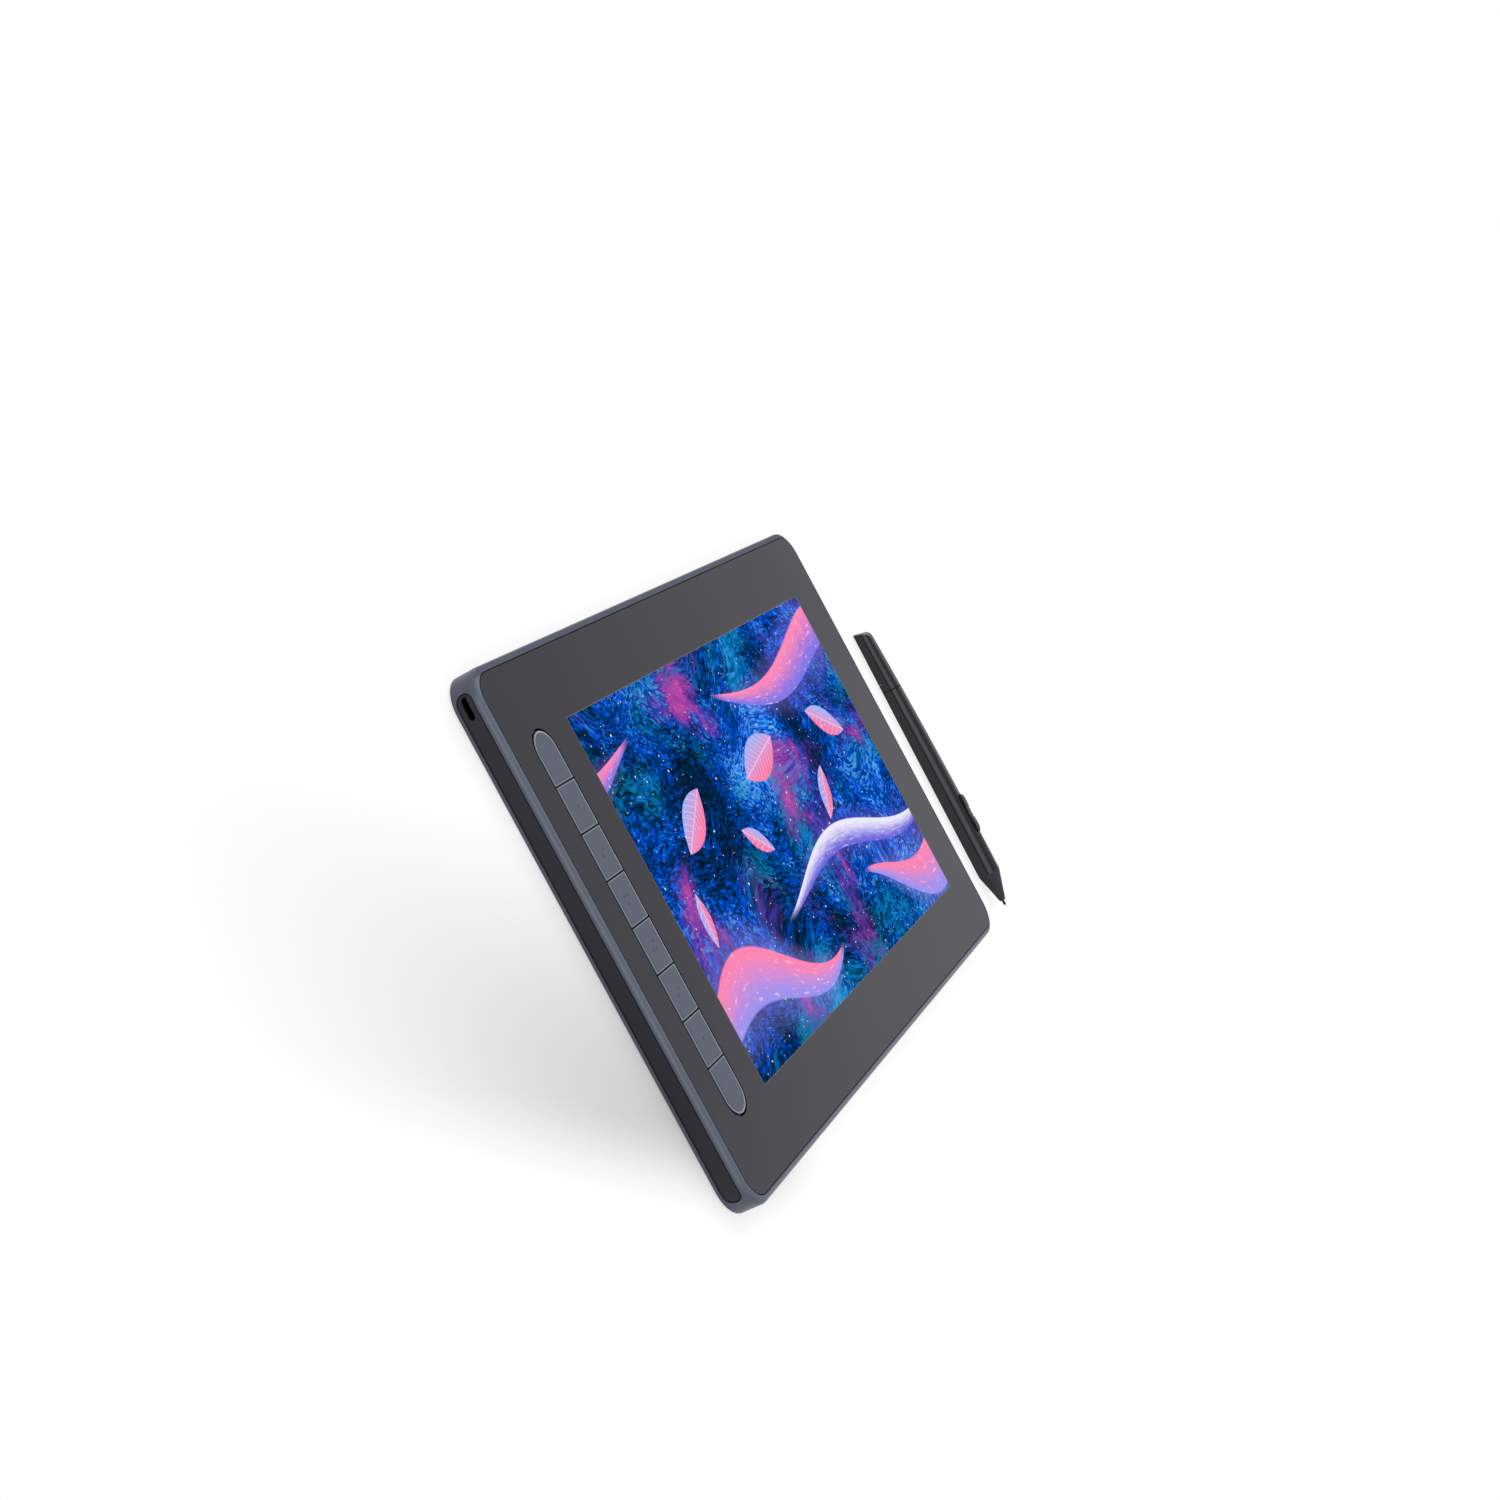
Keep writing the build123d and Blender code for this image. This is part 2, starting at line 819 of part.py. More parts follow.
port_front_x = -body_width / 2 + strip_pocket_depth + port_setback


def port_sleeve(grow):
    """The sleeve's outside, grown all round."""
    wall = 2 * (port_shell_wall + grow)
    outside = Plane.YZ * SlotOverall(port_opening_length + wall, port_opening_height + wall)
    return Pos(port_front_x, port_y, strip_z) * extrude(outside, port_shell_depth)


def make_usb_c_shell():
    """Open metal sleeve with a closed back, just behind the insert."""
    mouth = Plane.YZ * SlotOverall(port_opening_length, port_opening_height)
    room_depth = port_shell_depth - port_back_wall + cut_overrun
    return port_sleeve(0) - Pos(port_front_x - cut_overrun, port_y, strip_z) * extrude(mouth, room_depth)


def make_usb_c_tongue():
    back = port_front_x + port_shell_depth - port_back_wall
    bar = Plane.YZ * Rectangle(tongue_width, tongue_thickness)
    return Pos(back, port_y, strip_z) * extrude(bar, -tongue_length)


# Keys

def key_limits(index):
    """Low and high Y of one key, counted from the far end of the column."""
    half = key_count / 2
    high = (half - index) * key_pitch - key_gap / 2
    low = (half - index - 1) * key_pitch + key_gap / 2
    end = key_column_length / 2
    if index == 0:
        high = end
    if index == key_count - 1:
        low = -end
    return low, high


def key_middle(index):
    """Y of a key's centre; the end keys keep the pitch of the others."""
    return ((key_count - 1) / 2 - index) * key_pitch


def key_dots(index):
    """Raised dots that tell the keys apart by touch, as X and Y from the key's centre."""
    pair = dot_pair_offset
    trio = dot_trio_offset
    patterns = {
        1: [(0, 0)],
        2: [(pair, pair), (-pair, -pair)],
        3: [(-trio, trio), (trio, trio), (-trio, -trio)],
        4: [(trio, trio), (-trio, -trio), (trio, -trio)],
        5: [(pair, pair), (-pair, -pair)],
        6: [(0, 0)],
    }
    return patterns.get(index, [])


key_top = body_height + key_crown_height
flange_top = glass_bottom - key_flange_clearance
flange_bottom = flange_top - key_flange_thickness
switch_top = board_top + switch_height
tip_bottom = switch_top - key_tip_entry
dot_sphere_radius = (dot_radius ** 2 + dot_height ** 2) / (2 * dot_height)


def make_key_column():
    """The whole column's cap, with its shallow crown, before it is cut into keys."""
    column = obround(key_width, key_column_length, flange_top, body_height, key_x)
    edge = Pos(key_x, 0, body_height) * SlotOverall(key_column_length, key_width, rotation=90)
    crown_length = key_column_length - 2 * key_crown_inset
    crown_width = key_width - 2 * key_crown_inset
    crown = Pos(key_x, 0, key_top) * SlotOverall(crown_length, crown_width, rotation=90)
    return column + loft([edge, crown], ruled=True)


def break_cut_edges(key, index, low, high):
    """Small chamfer on the upper edges where the column is cut into keys."""
    cuts = []
    if index > 0:
        cuts.append(high)
    if index < key_count - 1:
        cuts.append(low)
    broken = []
    for edge in key.edges():
        place = edge.center()
        if place.Z >= body_height and any(abs(place.Y - cut) < key_edge_break for cut in cuts):
            broken.append(edge)
    return chamfer(broken, key_edge_break)


def make_key(index, column):
    low, high = key_limits(index)
    middle = (low + high) / 2
    cell = block(key_slot_width, high - low, flange_top, key_top + cut_overrun, key_x, middle)
    key = break_cut_edges(column & cell, index, low, high)
    flange_width = key_width + 2 * key_flange_width
    flange_length = key_column_length + 2 * key_flange_width
    flange = obround(flange_width, flange_length, flange_bottom, flange_top, key_x)
    flange_low = low + key_flange_gap / 2
    flange_high = high - key_flange_gap / 2
    if index == 0:
        flange_high = flange_length / 2
    if index == key_count - 1:
        flange_low = -flange_length / 2
    flange &= block(
        flange_width,
        flange_high - flange_low,
        flange_bottom,
        flange_top,
        key_x,
        (flange_low + flange_high) / 2,
    )
    stem_y = key_middle(index)
    stem_bottom = flange_bottom - key_stem_drop
    key += [
        flange,
        post(key_stem_radius, stem_bottom, flange_bottom, key_x, stem_y),
        post(key_tip_radius, tip_bottom, stem_bottom, key_x, stem_y),
    ]
    ball_z = key_top + dot_height - dot_sphere_radius
    for x, y in key_dots(index):
        ball = Pos(key_x + x, stem_y + y, ball_z) * Sphere(dot_sphere_radius)
        key += ball & block(
            4 * dot_radius,
            4 * dot_radius,
            key_top - dot_height,
            key_top + dot_sphere_radius,
            key_x + x,
            stem_y + y,
        )
    return key


def make_key_guide():
    """Round-ended ring on the key board, with a rib under the gap between two keys."""
    guide = obround(key_guide_width, key_guide_length, board_top, frame_top, key_x)
    guide -= obround(
        key_guide_inner_width,
        key_guide_inner_length,
        board_top - cut_overrun,
        frame_top + cut_overrun,
        key_x,
    )
    rib_top = flange_bottom - key_travel - key_rib_clearance
    rib_width = key_guide_inner_width + key_guide_wall
    for index in range(1, key_count):
        y = (key_count / 2 - index) * key_pitch
        guide += block(rib_width, key_rib_thickness, board_top, rib_top, key_x, y)
    return guide


def make_key_switches():
    switches = []
    for index in range(key_count):
        y = key_middle(index)
        body = block(switch_size, switch_size, board_top, switch_top, key_x, y)
        body -= post(switch_well_radius, switch_top - switch_well_depth, switch_top + cut_overrun, key_x, y)
        switches.append(body)
    return together(switches)


# Power button

strip_face_x = body_width / 2 - strip_recess
inner_wall_x = body_width / 2 - rim_width
power_flange_x = inner_wall_x - power_flange_gap
power_switch_face_x = power_flange_x - power_flange_thickness - power_switch_gap


def make_power_button():
    face = Plane.YZ * SlotOverall(power_length, power_height)
    cap_length = strip_face_x + power_proud - power_flange_x
    cap = Pos(power_flange_x, power_y, strip_z) * extrude(face, cap_length)
    wide = Plane.YZ * SlotOverall(
        power_length + 2 * (power_clearance + power_flange_margin),
        power_height + 2 * (power_clearance + power_flange_rise),
    )
    flange = Pos(power_flange_x, power_y, strip_z) * extrude(wide, -power_flange_thickness)
    stem_length = power_switch_gap + power_tip_entry
    stem_start = power_flange_x - power_flange_thickness
    rod = extrude(Plane.YZ * Circle(power_stem_radius), -stem_length)
    return cap + flange + Pos(stem_start, power_y, power_stem_z) * rod


power_stem_z = board_top + power_switch_height / 2


def make_power_switch():
    middle_x = power_switch_face_x - power_switch_depth / 2
    low = board_top
    body = block(power_switch_depth, power_switch_length, low, low + power_switch_height, middle_x, power_y)
    well = Pos(power_switch_face_x + cut_overrun, power_y, power_stem_z) * extrude(
        Plane.YZ * Circle(power_well_radius), -power_well_depth - cut_overrun
    )
    return body - well


def make_power_board():
    board = block(power_board_width, power_board_depth, board_bottom, board_top, power_board_x, power_y)
    return board_with_holes(board)


# Pen, made lying along Y with its tip at the origin of its own frame and its keel on z = 0

nose_end_y = nib_length_shown
cone_base_y = nose_end_y + nose_length
seam_y = cone_base_y + barrel_length
tail_end_y = seam_y + tail_length
rocker_middle = rocker_front + rocker_length / 2
body_run = tail_end_y - cone_base_y
taper_middle_y = tail_end_y - middle_place_share * body_run


def place_pen(piece):
    """From the pen's own frame to its place beside the body."""
    return Pos(pen_x, pen_tip_y, table_z) * Rot(0, 0, pen_yaw) * piece


def pen_section(y, scale, inset=0):
    """Cross-section: a flat keel, two slanted facets, a hard edge each side, a round top."""
    keel = section_keel_half_width * scale
    side = section_half_width * scale
    edge = section_edge_height * scale
    top = section_height * scale
    lines = Polyline((-side, edge), (-keel, 0), (keel, 0), (side, edge))
    arc = ThreePointArc((side, edge), (0, top), (-side, edge))
    face = make_face(lines + arc)
    return Plane(origin=(0, y, 0), x_dir=(1, 0, 0), z_dir=(0, -1, 0)) * face


def pen_body():
    """Barrel and tail in one: a smooth taper through three like sections."""
    sections = [
        pen_section(cone_base_y, 1),
        pen_section(taper_middle_y, middle_scale_share),
        pen_section(tail_end_y, tail_scale_share),
    ]
    return loft(sections)


def land_z(y):
    """Height of the narrow land along the top of the pen, which follows the taper."""
    return section_height * section_scale(y) - land_depth


def land_cut():
    """Removes the top of the round down to the land, from under the rocker to the tail."""
    beyond = tail_end_y + cut_overrun
    above = 2 * section_height
    front = (rocker_middle, land_z(rocker_middle))
    middle = (taper_middle_y, land_z(taper_middle_y))
    back = (beyond, land_z(beyond))
    outside = Polyline(back, (beyond, above), (rocker_middle, above), front)
    side_view = make_face(ThreePointArc(front, middle, back) + outside)
    return extrude(Plane.YZ * side_view, section_height, both=True)


def tail_side_view():
    """Side view of the tail: slanted end, longer at the keel, with a round upper corner."""
    start = seam_y - cut_overrun
    top_end = tail_end_y - tail_slant
    slope = tail_slant / land_z(top_end)
    view = make_face(
        Polyline(
            (start, -cut_overrun),
            (tail_end_y + slope * cut_overrun, -cut_overrun),
            (top_end, land_z(top_end)),
            (start, land_z(start)),
            close=True,
        )
    )
    corner = view.vertices().sort_by(lambda vertex: vertex.X + vertex.Y)[-1]
    return extrude(Plane.YZ * fillet(corner, tail_round), section_height, both=True)


def section_scale(y):
    """Scale of the taper at a place along the pen: a parabola through the three sections."""
    from_front = y - cone_base_y
    from_middle = y - taper_middle_y
    from_back = y - tail_end_y
    front_run = taper_middle_y - cone_base_y
    back_run = tail_end_y - taper_middle_y
    front = from_middle * from_back / (front_run * body_run)
    middle = -middle_scale_share * from_front * from_back / (front_run * back_run)
    back = tail_scale_share * from_front * from_middle / (body_run * back_run)
    return front + middle + back


rocker_top = section_height * section_scale(rocker_middle) + rocker_proud
rocker_bottom = rocker_top - rocker_depth
pin_z = rocker_top - rocker_proud - rocker_pin_drop
pin_reach = rocker_width / 2 + rocker_clearance + rocker_pin_grip


def make_pen_barrel(body):
    around = 2 * section_height
    barrel = body & block(around, barrel_length, 0, around, 0, (cone_base_y + seam_y) / 2)
    barrel -= shaft(bore_radius, cone_base_y - cut_overrun, seam_y + cut_overrun, bore_height)
    room = obround(
        rocker_width + 2 * rocker_clearance,
        rocker_length + 2 * rocker_clearance,
        bore_height,
        rocker_top + cut_overrun,
        0,
        rocker_middle,
    )
    return barrel - room - make_rocker_pin()


def make_pen_tail(body):
    low_y = seam_y + pen_seam
    around = 2 * section_height
    tail = body & block(around, tail_length, 0, around, 0, low_y + tail_length / 2)
    tail &= tail_side_view()
    plug_radius = bore_radius - nose_spigot_clearance
    return tail + shaft(plug_radius, seam_y - nose_spigot_length, low_y + cut_overrun, bore_height)


def make_pen_nose():
    """Straight cone from the barrel's outline to a small round end, with a spigot behind."""
    tip_plane = Plane(origin=(0, nose_end_y, bore_height), x_dir=(1, 0, 0), z_dir=(0, -1, 0))
    tip_face = tip_plane * Circle(nose_tip_radius)
    base_face = pen_section(cone_base_y, 1)
    cone = loft([tip_face, base_face], ruled=True)
    spigot_end = cone_base_y + nose_spigot_length
    cone += shaft(bore_radius - nose_spigot_clearance, cone_base_y - cut_overrun, spigot_end, bore_height)
    cone -= shaft(nib_hole_radius, nose_end_y - cut_overrun, spigot_end + cut_overrun, bore_height)
    room_start = spigot_end - nose_bore_depth
    return cone - shaft(nose_bore_radius, room_start, spigot_end + cut_overrun, bore_height)


coil_start = cone_base_y + nose_spigot_length - nose_bore_depth + cradle_gap
force_start = nib_length - force_well_depth + nib_travel + cradle_gap


def make_pen_nib():
    nib = shaft(nib_radius, 0, nib_length, bore_height)
    return fillet(nib.edges().group_by(Axis.Y)[0], nib_radius * nib_round_share)


def make_pen_ferrite():
    end = coil_start + ferrite_length
    tube = shaft(ferrite_radius, coil_start, end, bore_height)
    return tube - shaft(nib_hole_radius, coil_start - cut_overrun, end + cut_overrun, bore_height)


def make_pen_coil():
    start = coil_start + (ferrite_length - coil_length) / 2
    end = start + coil_length
    coil = shaft(coil_radius, start, end, bore_height)
    return coil - shaft(ferrite_radius, start - cut_overrun, end + cut_overrun, bore_height)


def make_force_sensor():
    body = shaft(sensor_radius, force_start, force_start + force_sensor_length, bore_height)
    well_end = force_start + force_well_depth
    return body - shaft(force_well_radius, force_start - cut_overrun, well_end, bore_height)


def make_pen_cradle():
    """Half-round carrier behind the force sensor, flat where the board lies."""
    start = force_start + force_sensor_length
    cradle = shaft(cradle_radius, start, start + cradle_length, bore_height)
    low = pen_board_z - pen_board_thickness
    middle = start + cradle_length / 2
    return cradle - block(2 * cradle_radius, 2 * cradle_length, low, section_height, 0, middle)


def board_start():
    return force_start + force_sensor_length + (cradle_length - pen_board_length) / 2


def make_pen_board():
    low = pen_board_z - pen_board_thickness
    middle = board_start() + pen_board_length / 2
    return block(pen_board_width, pen_board_length, low, pen_board_z, 0, middle)


def pen_switch_places():
    return [rocker_middle + way * rocker_length / 4 for way in (-1, 1)]


def make_pen_switches():
    switches = []
    for y in pen_switch_places():
        top = pen_board_z + pen_switch_height
        switches.append(block(pen_switch_width, pen_switch_length, pen_board_z, top, 0, y))
    return together(switches)


def make_pen_rocker():
    """Long button with a dip across its middle and three small grooves in the dip."""
    half = rocker_length / 2
    dip_z = rocker_top - rocker_dip
    side_view = make_face(
        Polyline(
            (rocker_middle - half, dip_z),
            (rocker_middle - half, rocker_bottom),
            (rocker_middle + half, rocker_bottom),
            (rocker_middle + half, dip_z),
        )
        + Spline(
            (rocker_middle + half, dip_z),
            (rocker_middle + half / 2, rocker_top),
            (rocker_middle, dip_z),
            (rocker_middle - half / 2, rocker_top),
            (rocker_middle - half, dip_z),
        )
    )
    wall = extrude(Plane.YZ * side_view, rocker_width, both=True)
    high = rocker_top + cut_overrun
    rocker = wall & obround(rocker_width, rocker_length, rocker_bottom, high, 0, rocker_middle)
    for step in (-1, 0, 1):
        y = rocker_middle + step * rocker_groove_pitch
        low = dip_z - rocker_groove_depth
        rocker -= block(2 * rocker_width, rocker_groove_width, low, high, 0, y)
    pin_hole = rocker_pin_radius + rocker_pin_clearance
    bore = Pos(-rocker_width, rocker_middle, pin_z) * extrude(Plane.YZ * Circle(pin_hole), 2 * rocker_width)
    foot_low = pen_board_z + pen_switch_height + rocker_foot_gap
    feet = [post(rocker_foot_radius, foot_low, rocker_bottom, 0, y) for y in pen_switch_places()]
    return rocker - bore + feet


def make_rocker_pin():
    round_bar = extrude(Plane.YZ * Circle(rocker_pin_radius), 2 * pin_reach)
    return Pos(-pin_reach, rocker_middle, pin_z) * round_bar


# Every node and its solid

def make_nodes():
    nodes = {
        "rear_shell": make_rear_shell(),
        "mid_frame": make_mid_frame(),
        "cover_glass": make_cover_glass(),
        "glass_tape": make_glass_tape(),
        "left_side_strip": make_left_strip(),
        "right_side_strip": make_right_strip(),
        "rubber_feet": make_rubber_feet(),
        "case_screws": make_case_screws(),
        "lcd_cell": make_lcd_cell(),
        "film_stack": backlight_sheet(film_bottom, cell_bottom),
        "light_guide": make_light_guide(),
        "reflector_sheet": backlight_sheet(reflector_bottom, guide_bottom),
        "led_bar": make_led_bar(),
        "panel_tray": make_panel_tray(),
        "sensor_board": make_sensor_board(),
        "shield_plate": make_shield_plate(),
        "sensor_header": make_sensor_header(),
        "main_board": make_main_board(),
        "board_parts": make_board_parts(),
        "board_screws": make_board_screws(),
        "key_board": make_key_board(),
        "key_guide": make_key_guide(),
        "key_switches": make_key_switches(),
        "port_board": make_port_board(),
        "usb_c_shell": make_usb_c_shell(),
        "usb_c_tongue": make_usb_c_tongue(),
        "port_ribbon": make_port_ribbon(),
        "power_ribbon": make_power_ribbon(),
        "key_ribbon": make_key_ribbon(),
        "panel_ribbon": make_panel_ribbon(),
        "power_button": make_power_button(),
        "power_switch": make_power_switch(),
        "power_board": make_power_board(),
    }
    column = make_key_column()
    for index in range(key_count):
        nodes[f"key_{index + 1}"] = make_key(index, column)
    body = pen_body() - land_cut()
    pen_nodes = {
        "pen_barrel": make_pen_barrel(body),
        "pen_tail": make_pen_tail(body),
        "pen_nose": make_pen_nose(),
        "pen_nib": make_pen_nib(),
        "pen_rocker": make_pen_rocker(),
        "pen_rocker_pin": make_rocker_pin(),
        "pen_ferrite": make_pen_ferrite(),
        "pen_coil": make_pen_coil(),
        "pen_force_sensor": make_force_sensor(),
        "pen_cradle": make_pen_cradle(),
        "pen_board": make_pen_board(),
        "pen_switches": make_pen_switches(),
    }
    for name, piece in pen_nodes.items():
        nodes[name] = place_pen(piece)
    return nodes


def main():
    for name, piece in make_nodes().items():
        export_step(piece, f"parts/{name}.step")
        size = piece.bounding_box().size
        print(f"{name}: {len(piece.solids())} solids, {size.X:.2f} x {size.Y:.2f} x {size.Z:.2f} mm")


main()
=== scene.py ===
# %% [markdown]
# # A pen display and its pen
# The object is a flat drawing screen with a column of keys, and a pen that lies beside it.
# Its shapes come from a packed CAD model, so this lesson is about finishes, light and camera.
# The model is loaded first, because every later step asks it where its pieces are.

# %% Load the packed model
import math

import bpy
from mathutils import Matrix, Vector


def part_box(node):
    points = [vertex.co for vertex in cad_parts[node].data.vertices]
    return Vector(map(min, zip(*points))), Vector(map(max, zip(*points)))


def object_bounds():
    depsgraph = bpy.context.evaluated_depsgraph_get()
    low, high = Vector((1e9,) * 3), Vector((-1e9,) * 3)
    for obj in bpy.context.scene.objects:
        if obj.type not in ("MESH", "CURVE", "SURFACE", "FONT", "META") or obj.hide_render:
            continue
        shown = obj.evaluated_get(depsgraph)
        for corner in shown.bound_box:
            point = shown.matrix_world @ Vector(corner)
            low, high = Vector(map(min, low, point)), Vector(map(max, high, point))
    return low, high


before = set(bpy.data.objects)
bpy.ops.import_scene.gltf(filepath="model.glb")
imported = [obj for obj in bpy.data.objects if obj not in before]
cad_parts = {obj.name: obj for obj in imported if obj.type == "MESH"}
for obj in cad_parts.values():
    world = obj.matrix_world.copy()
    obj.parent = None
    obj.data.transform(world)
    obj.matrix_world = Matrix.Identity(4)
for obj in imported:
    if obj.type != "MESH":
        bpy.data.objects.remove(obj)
cad_low, cad_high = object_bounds()
scene = bpy.context.scene
MM = 0.001
print("pieces:", len(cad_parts), "box in metres:", list(cad_low), list(cad_high))

# %% [markdown]
# ## Camera
# The photograph looks along the long side of the screen, a little from above, with the picture
# turned so that upright pieces lean to the right. A camera can be aimed with a tracking
# constraint, but three axes written out fix the turn as well, so its matrix is set directly.
# The focal length is known in pixels, and the side of the frame turns it into millimetres.

# %% Camera from its three axes
SENSOR_MM = 36.0
FRAME_SIDE = 1500
FOCAL_IN_PIXELS = 2515.79
EYE = Vector((-0.92102, 0.07198, 0.40401))
RIGHT = Vector((0.32333614, -0.47287681, 0.81965924))
DOWN = Vector((-0.21885911, -0.88007197, -0.42139532))
FORWARD = Vector((0.92062719, -0.04313755, -0.38805247))

camera_data = bpy.data.cameras.new("camera")
camera_data.sensor_width = SENSOR_MM
camera_data.lens = FOCAL_IN_PIXELS / FRAME_SIDE * SENSOR_MM
camera_data.clip_start = 0.05
camera_data.clip_end = 200.0
camera = bpy.data.objects.new("camera", camera_data)
turn = Matrix((RIGHT, -DOWN, -FORWARD)).transposed()
camera.matrix_world = Matrix.Translation(EYE) @ turn.to_4x4()
scene.collection.objects.link(camera)
scene.camera = camera
print("lens in mm:", round(camera_data.lens, 2))

# %% [markdown]
# ## Shader maths in plain expressions
# A material is a graph of small nodes. Linking them by hand hides the idea behind the wiring,
# so one class wraps an output socket and lets it be added, multiplied and compared like a
# number. Each operator adds one Math node. Colours never go through it, since a Math node
# would turn them grey: they are mixed instead.

# %% One class for a socket
class Value:
    """An output socket of a node; arithmetic on it adds Math nodes."""

    def __init__(self, graph, socket):
        self.graph = graph
        self.socket = socket

    def math(self, operation, first, second=0.0):
        return self.graph.node("ShaderNodeMath", {"operation": operation}, {0: first, 1: second})

    def __add__(self, other):
        return self.math("ADD", self, other)

    def __radd__(self, other):
        return self.math("ADD", other, self)

    def __sub__(self, other):
        return self.math("SUBTRACT", self, other)

    def __rsub__(self, other):
        return self.math("SUBTRACT", other, self)

    def __mul__(self, other):
        return self.math("MULTIPLY", self, other)

    def __rmul__(self, other):
        return self.math("MULTIPLY", other, self)

    def __truediv__(self, other):
        return self.math("DIVIDE", self, other)

    def __abs__(self):
        return self.math("ABSOLUTE", self)

    def wave(self):
        return self.math("SINE", self)

    def root(self):
        return self.math("SQRT", self)

    def larger(self, other):
        return self.math("MAXIMUM", self, other)


print("a value knows:", [name for name in vars(Value) if not name.startswith("_")])

# %% [markdown]
# ## One method for every other node
# Each node is asked for by its type, then its settings, then its sockets. Settings come first
# because some of them, such as a data type, change which sockets there are. Short methods on
# top of it say what a node is for: to mix two colours, to step smoothly, to spread a value.

# %% A graph of nodes
class Graph:
    """A node tree with one method that adds a node of any type."""

    def __init__(self, tree):
        self.tree = tree
        tree.nodes.clear()

    def node(self, kind, settings, sockets, output=0):
        made = self.tree.nodes.new(kind)
        for name, value in settings.items():
            if name == "stops":
                self.set_stops(made.color_ramp, value)
            else:
                setattr(made, name, value)
        for key, value in sockets.items():
            self.plug(made.inputs[key], value)
        return Value(self, made.outputs[output]) if len(made.outputs) else made

    def set_stops(self, ramp, stops):
        while len(ramp.elements) < len(stops):
            ramp.elements.new(0.5)
        for element, (place, colour) in zip(ramp.elements, stops):
            element.position = place
            element.color = colour

    def plug(self, socket, value):
        if isinstance(value, Value):
            self.tree.links.new(value.socket, socket)
        else:
            socket.default_value = value

    def all_outputs(self, value):
        """Every output of the node that a value comes from."""
        return [Value(self, socket) for socket in value.socket.node.outputs]

    def mix(self, factor, first, second):
        """Colour between two colours."""
        settings = {"data_type": "RGBA"}
        return self.node("ShaderNodeMix", settings, {0: factor, 6: first, 7: second}, output=2)

    def smooth(self, value, low, high):
        """0 up to low, 1 from high on and a smooth step between them."""
        settings = {"interpolation_type": "SMOOTHSTEP"}
        return self.node("ShaderNodeMapRange", settings, {0: value, 1: low, 2: high})

    def spread(self, value, low, high):
        """A value from 0 to 1, spread from low to high."""
        return self.node("ShaderNodeMapRange", {}, {0: value, 3: low, 4: high})

    def ramp(self, value, stops):
        """A colour from a row of stops, each a place and a colour."""
        return self.node("ShaderNodeValToRGB", {"stops": stops}, {0: value}, output="Color")

    def channels(self, colour):
        """The red, green and blue of a colour, each as a number."""
        return self.all_outputs(self.node("ShaderNodeSeparateColor", {}, {0: colour}))


print("a graph knows:", [name for name in vars(Graph) if not name.startswith("_")])

# %% [markdown]
# What varies over a piece is looked up at a place, a point in metres in the piece's own frame.
# A place can be taken apart into numbers, stretched and moved, or given to noise and to
# scattered cells, which turn it into a pattern.
#
# Seams and rims run at an even distance inside an outline. The last method measures that
# distance for an outline with round corners, and a smooth step turns it into a line.

# %% Places and patterns
class Surface(Graph):
    """A node tree for something that has a surface."""

    def place(self):
        """The point on the piece, in metres, in the piece's own frame."""
        return self.node("ShaderNodeTexCoord", {}, {}, output="Object")

    def parts(self, place):
        """The three coordinates of a place, each as a number."""
        return self.all_outputs(self.node("ShaderNodeSeparateXYZ", {}, {0: place}))

    def flat_place(self, across, up):
        """A place in a plane, from two numbers."""
        return self.node("ShaderNodeCombineXYZ", {}, {0: across, 1: up})

    def shift(self, place, scale=(1, 1, 1), move=(0, 0, 0)):
        """A place, stretched and then moved."""
        sockets = {0: place, 1: scale, 2: move}
        return self.node("ShaderNodeVectorMath", {"operation": "MULTIPLY_ADD"}, sockets)

    def noise(self, place, size, detail=2.0, rough=0.5, output="Fac"):
        """Cloudy noise whose blotches are about as wide as size."""
        sockets = {"Vector": place, "Scale": 1 / size, "Detail": detail, "Roughness": rough}
        return self.node("ShaderNodeTexNoise", {}, sockets, output=output)

    def cells(self, place, size, output="Distance"):
        """Scattered cells about as wide as size."""
        sockets = {"Vector": place, "Scale": 1 / size}
        return self.node("ShaderNodeTexVoronoi", {}, sockets, output=output)

    def from_outline(self, across, along, half_width, half_length, corner):
        """How far a point lies inside a round-cornered outline, near its edge."""
        beyond_side = (abs(across) - (half_width - corner)).larger(0.0)
        beyond_end = (abs(along) - (half_length - corner)).larger(0.0)
        return corner - (beyond_side * beyond_side + beyond_end * beyond_end).root()


print("a surface adds:", [name for name in vars(Surface) if not name.startswith("_")])

# %% [markdown]
# ## Colours as they look on a screen
# Shaders work with light, and screens with steps of 0 to 255. One small function turns the
# second into the first, so a colour in this file can be read as a colour on a screen.

# %% Screen colour to light
BLACK = (0, 0, 0, 1)
WHITE = (1, 1, 1, 1)


def shade(red, green, blue):
    """The light of a screen colour, by the screen's own curve."""
    light = []
    for step in (red, green, blue):
        share = step / 255
        light.append(share / 12.92 if share <= 0.04045 else ((share + 0.055) / 1.055) ** 2.4)
    return (*light, 1.0)


def scaled(colour, factor):
    """A colour made darker or lighter by a factor."""
    return tuple(min(1.0, channel * factor) for channel in colour[:3]) + (1.0,)


print("a mid grey as light:", [round(channel, 3) for channel in shade(128, 128, 128)])

# %% [markdown]
# ## A finish
# Every finish here is one Principled shader. What is the same all over goes straight to its
# sockets, and only colour, roughness, metal and bump vary over the surface. Bump comes from a
# height in metres, so a grain of ten micrometres is written as that.
#
# Fine lines are laid over a finish as paint: a mask says where, and each line has a colour of
# its own. Seams lose their shine as well. Where a piece gives light in one place only, a
# second shader is put over the first by a Mix Shader, whose factor is the mask.

